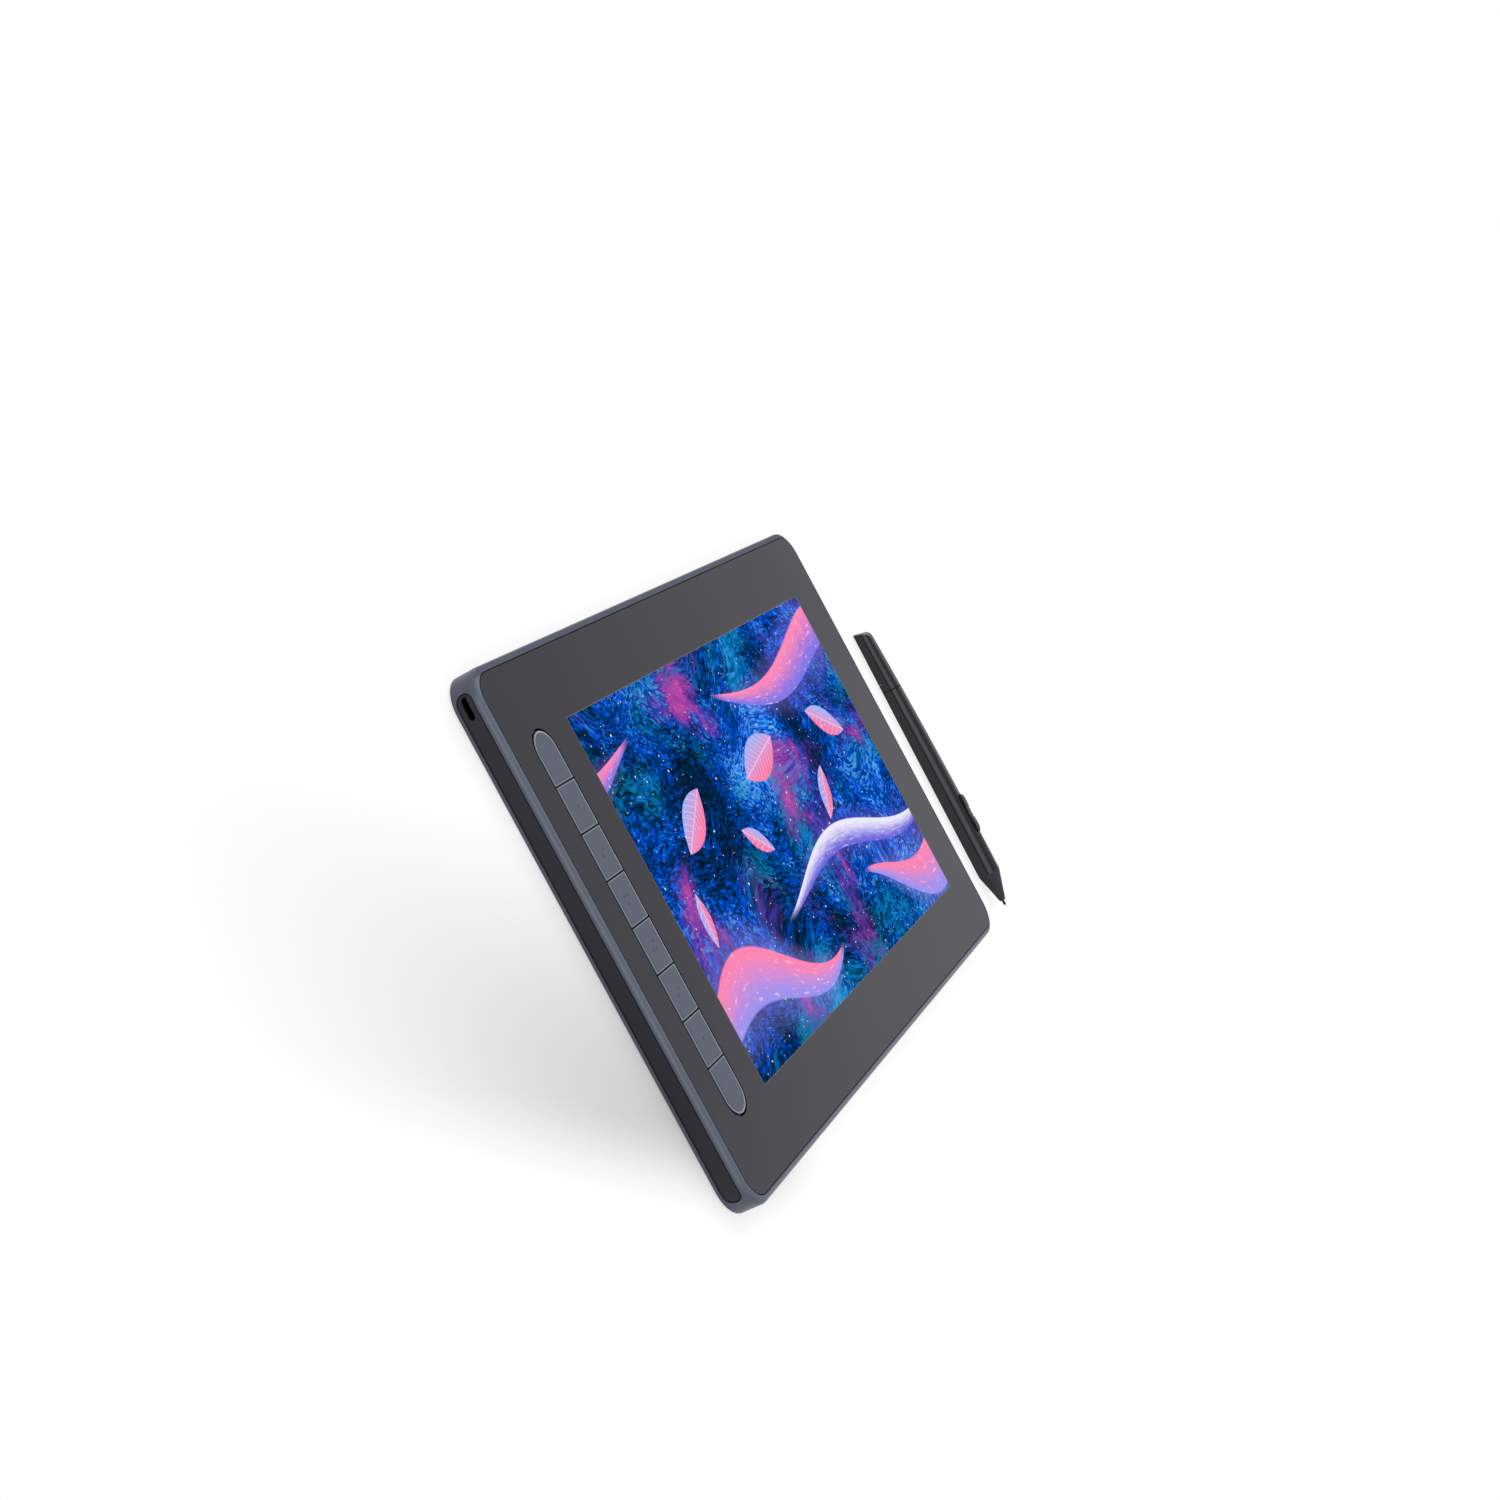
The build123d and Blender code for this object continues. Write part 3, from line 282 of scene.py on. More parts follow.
# %% Start a finish
class Finish(Surface):
    """A material with one Principled shader."""

    def __init__(self, name, **constants):
        material = bpy.data.materials.new(name)
        material.use_nodes = True
        super().__init__(material.node_tree)
        self.material = material
        self.shader = self.tree.nodes.new("ShaderNodeBsdfPrincipled")
        self.out = self.tree.nodes.new("ShaderNodeOutputMaterial")
        self.tree.links.new(self.shader.outputs[0], self.out.inputs["Surface"])
        for key, value in constants.items():
            self.set(key.replace("_", " "), value)

    def set(self, socket, value):
        self.plug(self.shader.inputs[socket], value)

    def coat(self, tone, gloss):
        """Sets colour and roughness, and keeps both for paint on top."""
        self.tone = tone
        self.gloss = gloss
        self.set("Base Color", tone)
        self.set("Roughness", gloss)

    def paint(self, mask, colour):
        """Lays a colour over the finish where the mask is 1."""
        self.coat(self.mix(mask, self.tone, colour), self.gloss)

    def dull(self, mask):
        """Takes the shine away where the mask is 1."""
        self.coat(self.tone, self.gloss.larger(mask))

    def blend(self, factor, other):
        """Puts another shader over the finish where the factor is 1."""
        sockets = {0: factor, 1: Value(self, self.shader.outputs[0]), 2: other}
        both = self.node("ShaderNodeMixShader", {}, sockets)
        self.plug(self.out.inputs["Surface"], both)

    def raise_by(self, height, depth):
        """Bump from a height of 0 to 1 that stands for a depth in metres."""
        sockets = {"Height": height, "Distance": depth, "Strength": 1.0}
        self.set("Normal", self.node("ShaderNodeBump", {}, sockets, output="Normal"))


print("a finish adds:", [name for name in vars(Finish) if not name.startswith("_")])

# %% [markdown]
# ## Dress the pieces
# A packed piece arrives with plain material slots. A finish could be put into each slot, but
# every piece here is made of one material, so the slots are cleared and one is added. What
# has been dressed is noted down, so that the lesson can say at its end what was forgotten.

# %% Dress pieces
finishes = {}


def dress(finish, *nodes):
    """Gives a finish to packed pieces, in all their material slots."""
    for name in nodes:
        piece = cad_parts[name]
        piece.data.materials.clear()
        piece.data.materials.append(finish.material)
        finishes[name] = finish.material.name
    print(finish.material.name, "on", len(nodes), "pieces")


print("pieces to dress:", len(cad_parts))

# %% [markdown]
# ## Moulded plastic
# Keys, inserts and the pen are moulded. The mould is spark-eroded, so the plastic carries a
# fine grain, and its colour and shine drift a little from place to place. A picture of grain
# would need unwrapping. Noise in three dimensions needs none and never repeats.

# %% Moulded plastic
CLOUD_SIZE = 22 * MM
COLOUR_DRIFT = 0.10
SHINE_DRIFT = 0.06


def moulded(name, colour, roughness, grain=0.25 * MM, depth=0.004 * MM, **constants):
    finish = Finish(name, Metallic=0.0, **constants)
    place = finish.place()
    cloud = finish.noise(place, CLOUD_SIZE, detail=3)
    fine = finish.noise(place, grain, detail=2, rough=0.6)
    darker = scaled(colour, 1 - COLOUR_DRIFT)
    lighter = scaled(colour, 1 + COLOUR_DRIFT)
    tone = finish.mix(cloud * 0.6 + fine * 0.4, darker, lighter)
    shine = fine * 0.5 + cloud * 0.5
    finish.coat(tone, finish.spread(shine, roughness - SHINE_DRIFT, roughness + SHINE_DRIFT))
    finish.raise_by(fine, depth)
    return finish


print("plastic drifts over", round(CLOUD_SIZE / MM), "mm")

# %% [markdown]
# ## Body
# The body is a thin shell in a satin blue-grey coat. Such a coat holds fine flakes, which
# catch light one by one, so small cells vary the shine and the colour. The coat is not bare
# metal, hence it keeps a dielectric reflection, with a little metal for the flakes.
#
# On the upper rim along the far and the right-hand side the coat is matte and has no flakes:
# seen along its length, a satin rim would mirror the bright room, and this one doesn't. There
# its colour is also painted a little darker, as painted shade. A mask from the piece's own box
# finds that rim, so no second material is needed.

# %% Matte part of the rim, with painted shade
RIM_WIDTH = 3.2 * MM
RIM_WIDTH_FADED = 4.0 * MM
RIM_DEPTH = 0.7 * MM
RIM_DEPTH_FADED = 1.2 * MM
RIM_PAINTED_SHADE = shade(20, 22, 30)
RIM_PAINTED_SHADE_SHARE = 0.12
RIM_ROUGHNESS = 0.9
body_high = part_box("rear_shell")[1]


def matte_and_shaded_rim(finish, place):
    """1 on the upper rim along the far and the right-hand side, else 0."""
    x, y, z = finish.parts(place)
    far = finish.smooth(y, body_high.y - RIM_WIDTH_FADED, body_high.y - RIM_WIDTH)
    right = finish.smooth(x, body_high.x - RIM_WIDTH_FADED, body_high.x - RIM_WIDTH)
    upper = finish.smooth(z, body_high.z - RIM_DEPTH_FADED, body_high.z - RIM_DEPTH)
    return far.larger(right) * upper


print("body reaches up to", round(body_high.z, 5))

# %% [markdown]
# Each flake is a cell with a random colour, and the red of it says how dark, how shiny and how
# metallic the flake is. A large cloud drifts under the flakes, and fine noise is the orange
# peel that a sprayed coat has.

# %% Body coat
FLAKE_SIZE = 0.16 * MM
COAT_CLOUD_SIZE = 30 * MM
PEEL_SIZE = 0.2 * MM
PEEL_DEPTH = 0.003 * MM
DARK_FLAKE = 0.86
LIGHT_FLAKE = 1.16


def body_coat(name, colour):
    finish = Finish(name, Specular_IOR_Level=0.3)
    place = finish.place()
    flake = finish.channels(finish.cells(place, FLAKE_SIZE, output="Color"))[0]
    cloud = finish.noise(place, COAT_CLOUD_SIZE, detail=2)
    darker = scaled(colour, DARK_FLAKE)
    lighter = scaled(colour, LIGHT_FLAKE)
    tone = finish.mix(flake * 0.45 + cloud * 0.55, darker, lighter)
    finish.coat(tone, finish.spread(flake * 0.6 + cloud * 0.4, 0.32, 0.46))
    matte_and_shade = matte_and_shaded_rim(finish, place)
    # The rim's colour is painted a little darker: painted shade.
    finish.paint(matte_and_shade * RIM_PAINTED_SHADE_SHARE, RIM_PAINTED_SHADE)
    finish.dull(matte_and_shade * RIM_ROUGHNESS)
    finish.set("Metallic", finish.spread(flake, 0.06, 0.22) * (1 - matte_and_shade))
    finish.raise_by(finish.noise(place, PEEL_SIZE, detail=2), PEEL_DEPTH)
    return finish


dress(body_coat("satin_body_coat", shade(85, 91, 105)), "rear_shell")

# %% [markdown]
# ## The drawing on the screen
# A screen gives its own light, so the drawing is an emission colour. It is painted in numbers:
# a night sky of small brush dabs, three flowing ribbons, a few leaves and many light specks.
# The dabs come from looking noise up at the middle of each cell instead of at the point itself,
# which makes every cell one flat touch of colour. A stretch makes the touches longer than wide.

# %% Sky of brush dabs
DAB_SIZE = 0.012
DAB_STRETCH = 1.7
BEND_WIDTH = 0.42
BEND = 0.34
BLUE_CLOUD_WIDTH = 0.52
VIOLET_CLOUD_WIDTH = 0.46
VIOLET_CLOUD_MOVE = (3.1, 1.7, 0.4)
TEAL_CLOUD_WIDTH = 0.40
TEAL_CLOUD_MOVE = (7.3, 4.1, 0.9)
DEEP_BLUES = [
    (0.36, shade(0, 24, 44)),
    (0.45, shade(0, 48, 98)),
    (0.52, shade(0, 66, 182)),
    (0.58, shade(8, 98, 224)),
    (0.68, shade(96, 180, 242)),
]
VIOLETS = [
    (0.50, shade(24, 18, 96)),
    (0.58, shade(92, 40, 150)),
    (0.68, shade(222, 80, 166)),
]
TEALS = [
    (0.46, shade(0, 40, 58)),
    (0.54, shade(0, 84, 118)),
    (0.64, shade(20, 150, 196)),
]


def sky(finish, place):
    """Place is in picture heights: 0 to 1 up, 0 to 1.78 across."""
    drift = finish.noise(place, BEND_WIDTH, detail=1, output="Color")
    bent = finish.shift(drift, (BEND, BEND, 0.0), place)
    stroke = finish.shift(bent, (1.0, DAB_STRETCH, 1.0))
    dab = finish.cells(stroke, DAB_SIZE, output="Position")
    dab = finish.shift(dab, (1.0, 1 / DAB_STRETCH, 1.0))
    dice = finish.channels(finish.cells(stroke, DAB_SIZE, output="Color"))[0] - 0.5

    blue = finish.noise(dab, BLUE_CLOUD_WIDTH, detail=6, rough=0.62) + dice * 0.20
    violet_place = finish.shift(dab, move=VIOLET_CLOUD_MOVE)
    violet = finish.noise(violet_place, VIOLET_CLOUD_WIDTH, detail=5, rough=0.6)
    teal_place = finish.shift(dab, move=TEAL_CLOUD_MOVE)
    teal = finish.noise(teal_place, TEAL_CLOUD_WIDTH, detail=4, rough=0.6) + dice * 0.08

    teal_share = finish.smooth(teal, 0.50, 0.60) * 0.55
    violet_share = finish.smooth(violet, 0.52, 0.63) * 0.85
    sea = finish.mix(teal_share, finish.ramp(blue, DEEP_BLUES), finish.ramp(teal, TEALS))
    return finish.mix(violet_share, sea, finish.ramp(violet, VIOLETS))


print("brush dabs up the picture:", round(1 / DAB_SIZE))

# %% [markdown]
# A ribbon is a sine curve with a width that swells and thins along it. How far a point lies
# above the curve, in widths, gives both the ribbon's outline and its shading.

# %% Ribbons
RIBBONS = [
    # height, swing, waves, start, width, two colours
    (0.15, 0.07, 6.3, 0.4, 0.060, shade(255, 134, 178), shade(158, 148, 240)),
    (0.30, 0.05, 5.1, 2.2, 0.030, shade(240, 236, 255), shade(112, 104, 222)),
    (0.86, 0.06, 4.4, 5.6, 0.050, shade(255, 138, 184), shade(130, 120, 232)),
]
SWELL_PACE = 0.62
SWELL_START = 1.7
SWELL_SWING = 0.75
SWELL_MIDDLE = 0.62
THINNEST = 0.002
STREAK_WIDTH = 0.11
GLOW_REACH = 2.4
RIBBON_LIGHT = shade(255, 222, 236)


def add_ribbons(finish, colour, across, up):
    for height, swing, waves, start, width, upper, lower in RIBBONS:
        line = (across * waves + start).wave() * swing + height
        swell = (across * (waves * SWELL_PACE) + start * SWELL_START).wave()
        swell = swell * (width * SWELL_SWING) + width * SWELL_MIDDLE
        depth = (up - line) / swell.larger(THINNEST)
        streaks = finish.flat_place(across * 2.0, depth * 0.55)
        streaks = finish.noise(streaks, STREAK_WIDTH, detail=4)
        tone = finish.mix(finish.smooth(depth + streaks * 1.2 - 0.6, -0.9, 0.9), lower, upper)
        tone = finish.mix(finish.smooth(streaks, 0.60, 0.72) * 0.6, tone, RIBBON_LIGHT)
        glow = finish.smooth(abs(depth), GLOW_REACH, 0.9) * finish.smooth(swell, 0.004, 0.03)
        inside = finish.smooth(abs(depth), 1.0, 0.90) * finish.smooth(swell, 0.004, 0.012)
        colour = finish.mix(glow * 0.22, colour, lower)
        colour = finish.mix(inside, colour, tone)
    return colour


print("ribbons:", len(RIBBONS))

# %% [markdown]
# Leaves are circles squeezed to a point: the width falls as the square of the way from the
# middle to the tip. Each has a place, a turn and a length. Fine waves on the slant are veins.

# %% Leaves
LEAVES = [
    # across, up, turn in degrees, length, width
    (0.36, 0.62, 30, 0.130, 0.052),
    (0.66, 0.48, -35, 0.085, 0.032),
    (0.93, 0.66, 12, 0.150, 0.060),
    (1.24, 0.47, 50, 0.095, 0.036),
    (1.50, 0.64, -28, 0.120, 0.046),
    (0.15, 0.40, 80, 0.075, 0.030),
]
LEAF_LOWER = shade(255, 116, 160)
LEAF_UPPER = shade(164, 176, 246)
LEAF_VEIN = shade(255, 226, 238)
LEAF_SOFTNESS = 0.003
VEINS_ALONG = 260
VEINS_ASIDE = 210


def add_leaves(finish, colour, across, up):
    for x, y, turn_degrees, length, width in LEAVES:
        angle = math.radians(turn_degrees)
        along = (across - x) * math.cos(angle) + (up - y) * math.sin(angle)
        side = (up - y) * math.cos(angle) - (across - x) * math.sin(angle)
        reach = along / length
        edge = (1.0 - reach * reach).larger(0.0) * width
        inside = finish.smooth(edge - abs(side), 0.0, LEAF_SOFTNESS)
        middle_vein = finish.smooth(abs(side), LEAF_SOFTNESS, 0.001)
        side_veins = (along * VEINS_ALONG + abs(side) * VEINS_ASIDE).wave()
        side_veins = finish.smooth(side_veins, 0.86, 1.0)
        tone = finish.mix(finish.smooth(side, -width, width), LEAF_LOWER, LEAF_UPPER)
        tone = finish.mix(middle_vein.larger(side_veins) * 0.55, tone, LEAF_VEIN)
        colour = finish.mix(inside, colour, tone)
    return colour


print("leaves:", len(LEAVES))

# %% [markdown]
# Specks are the middles of scattered cells. Each cell has a random colour, whose channels are
# used as three dice: one for the speck's size, one for whether it shows, one for its tint.

# %% Light specks
SPECKS = [
    # size of a cell, widest speck, share of the cells left empty
    (0.034, 0.12, 0.40),
    (0.015, 0.19, 0.60),
]
SMALLEST_SPECK = 0.02
SPECK_TINTS = [
    (0.30, shade(250, 250, 255)),
    (0.55, shade(255, 168, 200)),
    (0.80, shade(255, 214, 150)),
]


def add_specks(finish, colour, place):
    for size, widest, empty in SPECKS:
        red, green, blue = finish.channels(finish.cells(place, size, output="Color"))
        radius = red * widest + SMALLEST_SPECK
        shown = finish.smooth(green, empty, empty + 0.01)
        speck = finish.smooth(finish.cells(place, size) / radius, 1.0, 0.55) * shown
        colour = finish.mix(speck, colour, finish.ramp(blue, SPECK_TINTS))
    return colour


print("layers of specks:", len(SPECKS))

# %% [markdown]
# ## The front sheet
# One glass sheet covers the front. It is etched matte, and printed dark behind, with a clear
# window for the picture. The drawing is put in the sheet's own material, by a mask in the
# model's coordinates: a plane of its own under a clear sheet would need a refraction that an
# exported model loses. The mask leaves the sheet's edge and back dark.

# %% Window for the picture
ACTIVE_WIDTH = 263.23 * MM
ACTIVE_HEIGHT = 148.07 * MM
ACTIVE_X = 10.17 * MM
ACTIVE_Y = 0.16 * MM
PRINTED_EDGE = 0.35 * MM
SOFTNESS = 0.05 * MM
sheet_low, sheet_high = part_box("cover_glass")
print("front sheet is", round((sheet_high.x - sheet_low.x) / MM, 1), "mm long")


def window_mask(finish, x, y, grow):
    """1 inside the window, made larger by grow on all sides, else 0."""
    wide = finish.smooth(ACTIVE_WIDTH / 2 + grow - abs(x - ACTIVE_X), 0.0, SOFTNESS)
    high = finish.smooth(ACTIVE_HEIGHT / 2 + grow - abs(y - ACTIVE_Y), 0.0, SOFTNESS)
    return wide * high


def drawing(finish, x, y):
    """The drawing's colour at a point of the sheet."""
    across = (x - (ACTIVE_X - ACTIVE_WIDTH / 2)) / ACTIVE_HEIGHT
    up = (y - (ACTIVE_Y - ACTIVE_HEIGHT / 2)) / ACTIVE_HEIGHT
    place = finish.flat_place(across, up)
    colour = sky(finish, place)
    colour = add_ribbons(finish, colour, across, up)
    colour = add_leaves(finish, colour, across, up)
    return add_specks(finish, colour, place)


# %% [markdown]
# The ink behind the sheet is near black, and a painted reflection makes it lighter towards the
# near right-hand side. A warm thin line of ink shows round the window. The outer edge of the
# sheet and the cut for the keys show as fine dark seams, which are painted shade of the gaps.
# They are painted, because gaps of a few tenths of a millimetre are too fine for the model's
# pieces to draw crisply. Each seam is written as a pair of distances: from where it begins to
# fade in, to where it is fully dark.

# %% Ink with painted reflection, and seams of painted shade
KEY_X = -146.65 * MM
KEY_WIDTH = 15.15 * MM
KEY_COLUMN = 149.80 * MM
KEY_OUTLINE = (KEY_WIDTH / 2, KEY_COLUMN / 2, KEY_WIDTH / 2)
SHEET_CORNER = 9.7 * MM
SHEET_SEAM = (0.34 * MM, 0.20 * MM)
SLOT_SEAM = (-0.95 * MM, -0.80 * MM)
FAR_INK_PAINTED_DARKER = (shade(3, 3, 20), shade(7, 7, 24))
MIDDLE_INK = (shade(15, 15, 32), shade(21, 21, 37))
NEAR_INK_PAINTED_REFLECTION = shade(39, 39, 50)
WINDOW_INK = shade(92, 66, 42)
SEAM_PAINTED_SHADE = shade(1, 1, 2)
BACK_INK_AND_EDGE_SHADE = shade(6, 6, 7)


def ink_with_painted_reflection(finish, x, y, drift):
    """Ink with a painted reflection that gets lighter towards the near right-hand side."""
    # The ink is painted lighter towards the near right-hand side: a painted reflection.
    toward = finish.smooth(x * 0.35 - y, -0.15, 0.12)
    ink = finish.mix(toward, finish.mix(drift, *FAR_INK_PAINTED_DARKER), finish.mix(drift, *MIDDLE_INK))
    return finish.mix(finish.smooth(toward, 0.45, 1.0), ink, NEAR_INK_PAINTED_REFLECTION)


def sheet_seams(finish, x, y):
    """1 on the sheet's outer edge and in the cut for the keys, else 0."""
    middle = (sheet_low + sheet_high) / 2
    half = (sheet_high - sheet_low) / 2
    rim = finish.from_outline(x - middle.x, y - middle.y, half.x, half.y, SHEET_CORNER)
    slot = finish.from_outline(x - KEY_X, y, *KEY_OUTLINE)
    return finish.smooth(rim, *SHEET_SEAM).larger(finish.smooth(slot, *SLOT_SEAM))


print("key column in mm:", round(KEY_WIDTH / MM, 2), "x", round(KEY_COLUMN / MM, 2))

# %% [markdown]
# Now the sheet is put together in the order in which it is printed: ink, the line round the
# window, the seams in painted shade, and dark on its edge and back, which is print on the back
# and painted shade on the edge walls. The lit drawing is a second shader that the window's mask
# lays over the first, and it shares the etched roughness.

# %% Front sheet
ETCH_SIZE = 0.18 * MM
ETCH_DEPTH = 0.002 * MM
INK_DRIFT_SIZE = 60 * MM
FRONT_BEGINS = 0.45 * MM
FRONT_IS_FULL = 0.35 * MM
BACK_BEGINS = 0.2 * MM
BACK_IS_FULL = 0.3 * MM


def front_sheet(name):
    finish = Finish(name, Specular_IOR_Level=0.20)
    place = finish.place()
    x, y, z = finish.parts(place)
    etch = finish.noise(place, ETCH_SIZE, detail=2)
    drift = finish.noise(place, INK_DRIFT_SIZE, detail=2)
    front = finish.smooth(z, sheet_high.z - FRONT_BEGINS, sheet_high.z - FRONT_IS_FULL)
    back = finish.smooth(z, sheet_high.z - BACK_BEGINS, sheet_high.z - BACK_IS_FULL)
    seams = sheet_seams(finish, x, y)
    ink = ink_with_painted_reflection(finish, x, y, drift)
    finish.coat(ink, finish.spread(etch * 0.6 + drift * 0.4, 0.30, 0.42))
    finish.paint(window_mask(finish, x, y, PRINTED_EDGE) * front, WINDOW_INK)
    # The seams are painted dark: painted shade of the gaps.
    finish.paint(seams, SEAM_PAINTED_SHADE)
    finish.dull(seams)
    # Dark on the back is print; on the edge walls it is painted shade.
    finish.paint(back, BACK_INK_AND_EDGE_SHADE)
    finish.raise_by(etch, ETCH_DEPTH)
    sockets = {
        "Base Color": BLACK,
        "Specular IOR Level": 0.0,
        "Roughness": finish.gloss,
        "Emission Color": drawing(finish, x, y),
        "Emission Strength": 1.0,
    }
    lit = finish.node("ShaderNodeBsdfPrincipled", {}, sockets)
    finish.blend(window_mask(finish, x, y, 0.0) * front, lit)
    return finish


dress(front_sheet("etched_front_sheet"), "cover_glass")

# %% [markdown]
# ## Keys
# The eight keys look like the body's blue-grey. They are written a step darker, because their
# flat tops face the lamps. The cuts between them are evenly spaced, so a sine wave that is 0
# at each cut gives the distance to the nearest one. Past the outermost cuts it is made large,
# since the round ends of the column have no cut.

# %% Where a key's lines run
KEY_PITCH = 18.30 * MM
PAST_LAST_CUT = (KEY_PITCH * 3.3, KEY_PITCH * 3.6)
skirt_top = sheet_high.z - 0.15 * MM
key_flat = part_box("key_1")[1].z
key_look = moulded(
    "key_plastic",
    shade(75, 82, 98),
    0.36,
    grain=0.2 * MM,
    depth=0.002 * MM,
    Specular_IOR_Level=0.2,
)
x, y, z = key_look.parts(key_look.place())
from_side = key_look.from_outline(x - KEY_X, y, *KEY_OUTLINE)
from_cut = abs((y * (math.pi / KEY_PITCH)).wave()) * (KEY_PITCH / math.pi)
from_cut = from_cut + key_look.smooth(abs(y), *PAST_LAST_CUT)
print("keys stand up to", round(key_flat, 5), "and are black below", round(skirt_top, 5))

# %% [markdown]
# A key's crown ends in a small break with a painted highlight along it, most on the side of the
# screen. The raised dots have painted shade on their flanks, found by their height. Below the
# sheet's face the keys are painted black, and so are the cuts: painted shade, so that gaps read
# as gaps. Each is a thin line of paint.

# %% Painted highlights and shade on the keys
SIDE_HIGHLIGHT_BAND = (0.75 * MM, 0.45 * MM)
CUT_HIGHLIGHT_BAND = (0.85 * MM, 0.6 * MM)
CUT_SHADE_BAND = (0.38 * MM, 0.28 * MM)
RIM_PAINTED_HIGHLIGHT = shade(164, 170, 182)
FLANK_PAINTED_SHADE = shade(30, 33, 40)
GAP_PAINTED_SHADE = shade(5, 5, 6)
screen_side = key_look.smooth(x - KEY_X, -KEY_WIDTH * 0.55, KEY_WIDTH * 0.3)
side_rim_highlight = key_look.smooth(from_side, *SIDE_HIGHLIGHT_BAND) * (screen_side * 0.65 + 0.35)
cut_rim_highlight = key_look.smooth(from_cut, *CUT_HIGHLIGHT_BAND) * 0.4
rim = side_rim_highlight.larger(cut_rim_highlight) * key_look.smooth(z, skirt_top, skirt_top + 0.1 * MM)
dot_foot = key_look.smooth(z, key_flat + 0.01 * MM, key_flat + 0.04 * MM)
dot_flank_shade = dot_foot * key_look.smooth(z, key_flat + 0.18 * MM, key_flat + 0.12 * MM)
# Painted shade below the sheet's face.
key_look.paint(key_look.smooth(z, skirt_top, skirt_top - 0.1 * MM), GAP_PAINTED_SHADE)
# Painted highlight on the crown's break.
key_look.paint(rim, RIM_PAINTED_HIGHLIGHT)
# Painted shade on the dots' flanks.
key_look.paint(dot_flank_shade * 0.7, FLANK_PAINTED_SHADE)
# Painted shade along the cuts.
key_look.paint(key_look.smooth(from_cut, *CUT_SHADE_BAND), GAP_PAINTED_SHADE)
dress(key_look, *[f"key_{number}" for number in range(1, 9)])
dress(moulded("power_key_plastic", shade(96, 101, 112), 0.42), "power_button")

# %% [markdown]
# ## Inserts and feet
# The inserts in both ends are darker and coarser than the keys. A dark seam of painted shade
# runs round them, at an even distance inside their outline, which has fully round ends. The
# feet are rubber, with almost no shine.

# %% Inserts and feet
INSERT_SEAM = (0.40 * MM, 0.24 * MM)
SEAM_SHADE_BLACK = shade(2, 2, 2)
strip_low, strip_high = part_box("left_side_strip")
middle = (strip_low + strip_high) / 2
half = (strip_high - strip_low) / 2
insert_look = moulded(
    "insert_plastic", shade(37, 36, 44), 0.55, grain=0.3 * MM, Specular_IOR_Level=0.3
)
x, y, z = insert_look.parts(insert_look.place())
from_edge = insert_look.from_outline(z - middle.z, y - middle.y, half.z, half.y, half.z)
insert_seam = insert_look.smooth(from_edge, *INSERT_SEAM)
# The seam is painted dark: painted shade of the gap.
insert_look.paint(insert_seam, SEAM_SHADE_BLACK)
insert_look.dull(insert_seam)
dress(insert_look, "left_side_strip", "right_side_strip")

foot_look = moulded("foot_rubber", shade(30, 30, 31), 0.85, grain=0.5 * MM, depth=0.02 * MM)
dress(foot_look, "rubber_feet")

# %% [markdown]
# ## Pen
# The barrel and tail are satin black, smoother than the inserts, so that the narrow flat along
# the top shows as one thin bright line. The seam between them is a dark line of painted shade,
# without shine. The nose is a finer matte, and the point is plain dark acetal, which wears
# round.

# %% Barrel and tail
PEN_SEAM = (0.40 * MM, 0.20 * MM)
barrel_look = moulded(
    "pen_satin_black",
    shade(6, 6, 18),
    0.27,
    grain=0.15 * MM,
    depth=0.0004 * MM,
    Specular_IOR_Level=0.30,
)
seam_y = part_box("pen_tail")[0].y
from_seam = abs(barrel_look.parts(barrel_look.place())[1] - seam_y)
pen_seam = barrel_look.smooth(from_seam, *PEN_SEAM)
# The seam is painted dark: painted shade of the groove.
barrel_look.paint(pen_seam, SEAM_SHADE_BLACK)
barrel_look.dull(pen_seam)
dress(barrel_look, "pen_barrel", "pen_tail")

# %% Nose, rocker and point
nose_look = moulded(
    "nose_matte_black", shade(52, 52, 60), 0.60, grain=0.2 * MM, Specular_IOR_Level=0.2
)
dress(nose_look, "pen_nose")
rocker_look = moulded(
    "rocker_black",
    shade(10, 10, 12),
    0.34,
    grain=0.2 * MM,
    depth=0.001 * MM,
    Specular_IOR_Level=0.15,
)
dress(rocker_look, "pen_rocker")
dress(moulded("point_acetal", shade(14, 14, 15), 0.45, Specular_IOR_Level=0.2), "pen_nib")

# %% [markdown]
# ## Metal inside
# Pressed and cast metals differ in how their grain runs. Brushing is noise stretched along one
# axis, casting is noise with no direction. Both move the roughness more than the colour.

# %% Metals
BRUSHED = (0.03, 1, 1)
METAL_CLOUD_SIZE = 18 * MM
METAL_GRAIN_DEPTH = 0.003 * MM
METAL_SHINE_DRIFT = 0.1
METAL_DARK = 0.82


def metal(name, colour, roughness, stretch=(1, 1, 1), grain=0.3 * MM):
    finish = Finish(name, Metallic=1.0)
    place = finish.place()
    lines = finish.noise(finish.shift(place, stretch), grain, detail=4, rough=0.6)
    cloud = finish.noise(place, METAL_CLOUD_SIZE, detail=2)
    tone = finish.mix(lines * 0.6 + cloud * 0.4, scaled(colour, METAL_DARK), colour)
    rougher = roughness + METAL_SHINE_DRIFT
    finish.coat(tone, finish.spread(lines, roughness - METAL_SHINE_DRIFT, rougher))
    finish.raise_by(lines, METAL_GRAIN_DEPTH)
    return finish


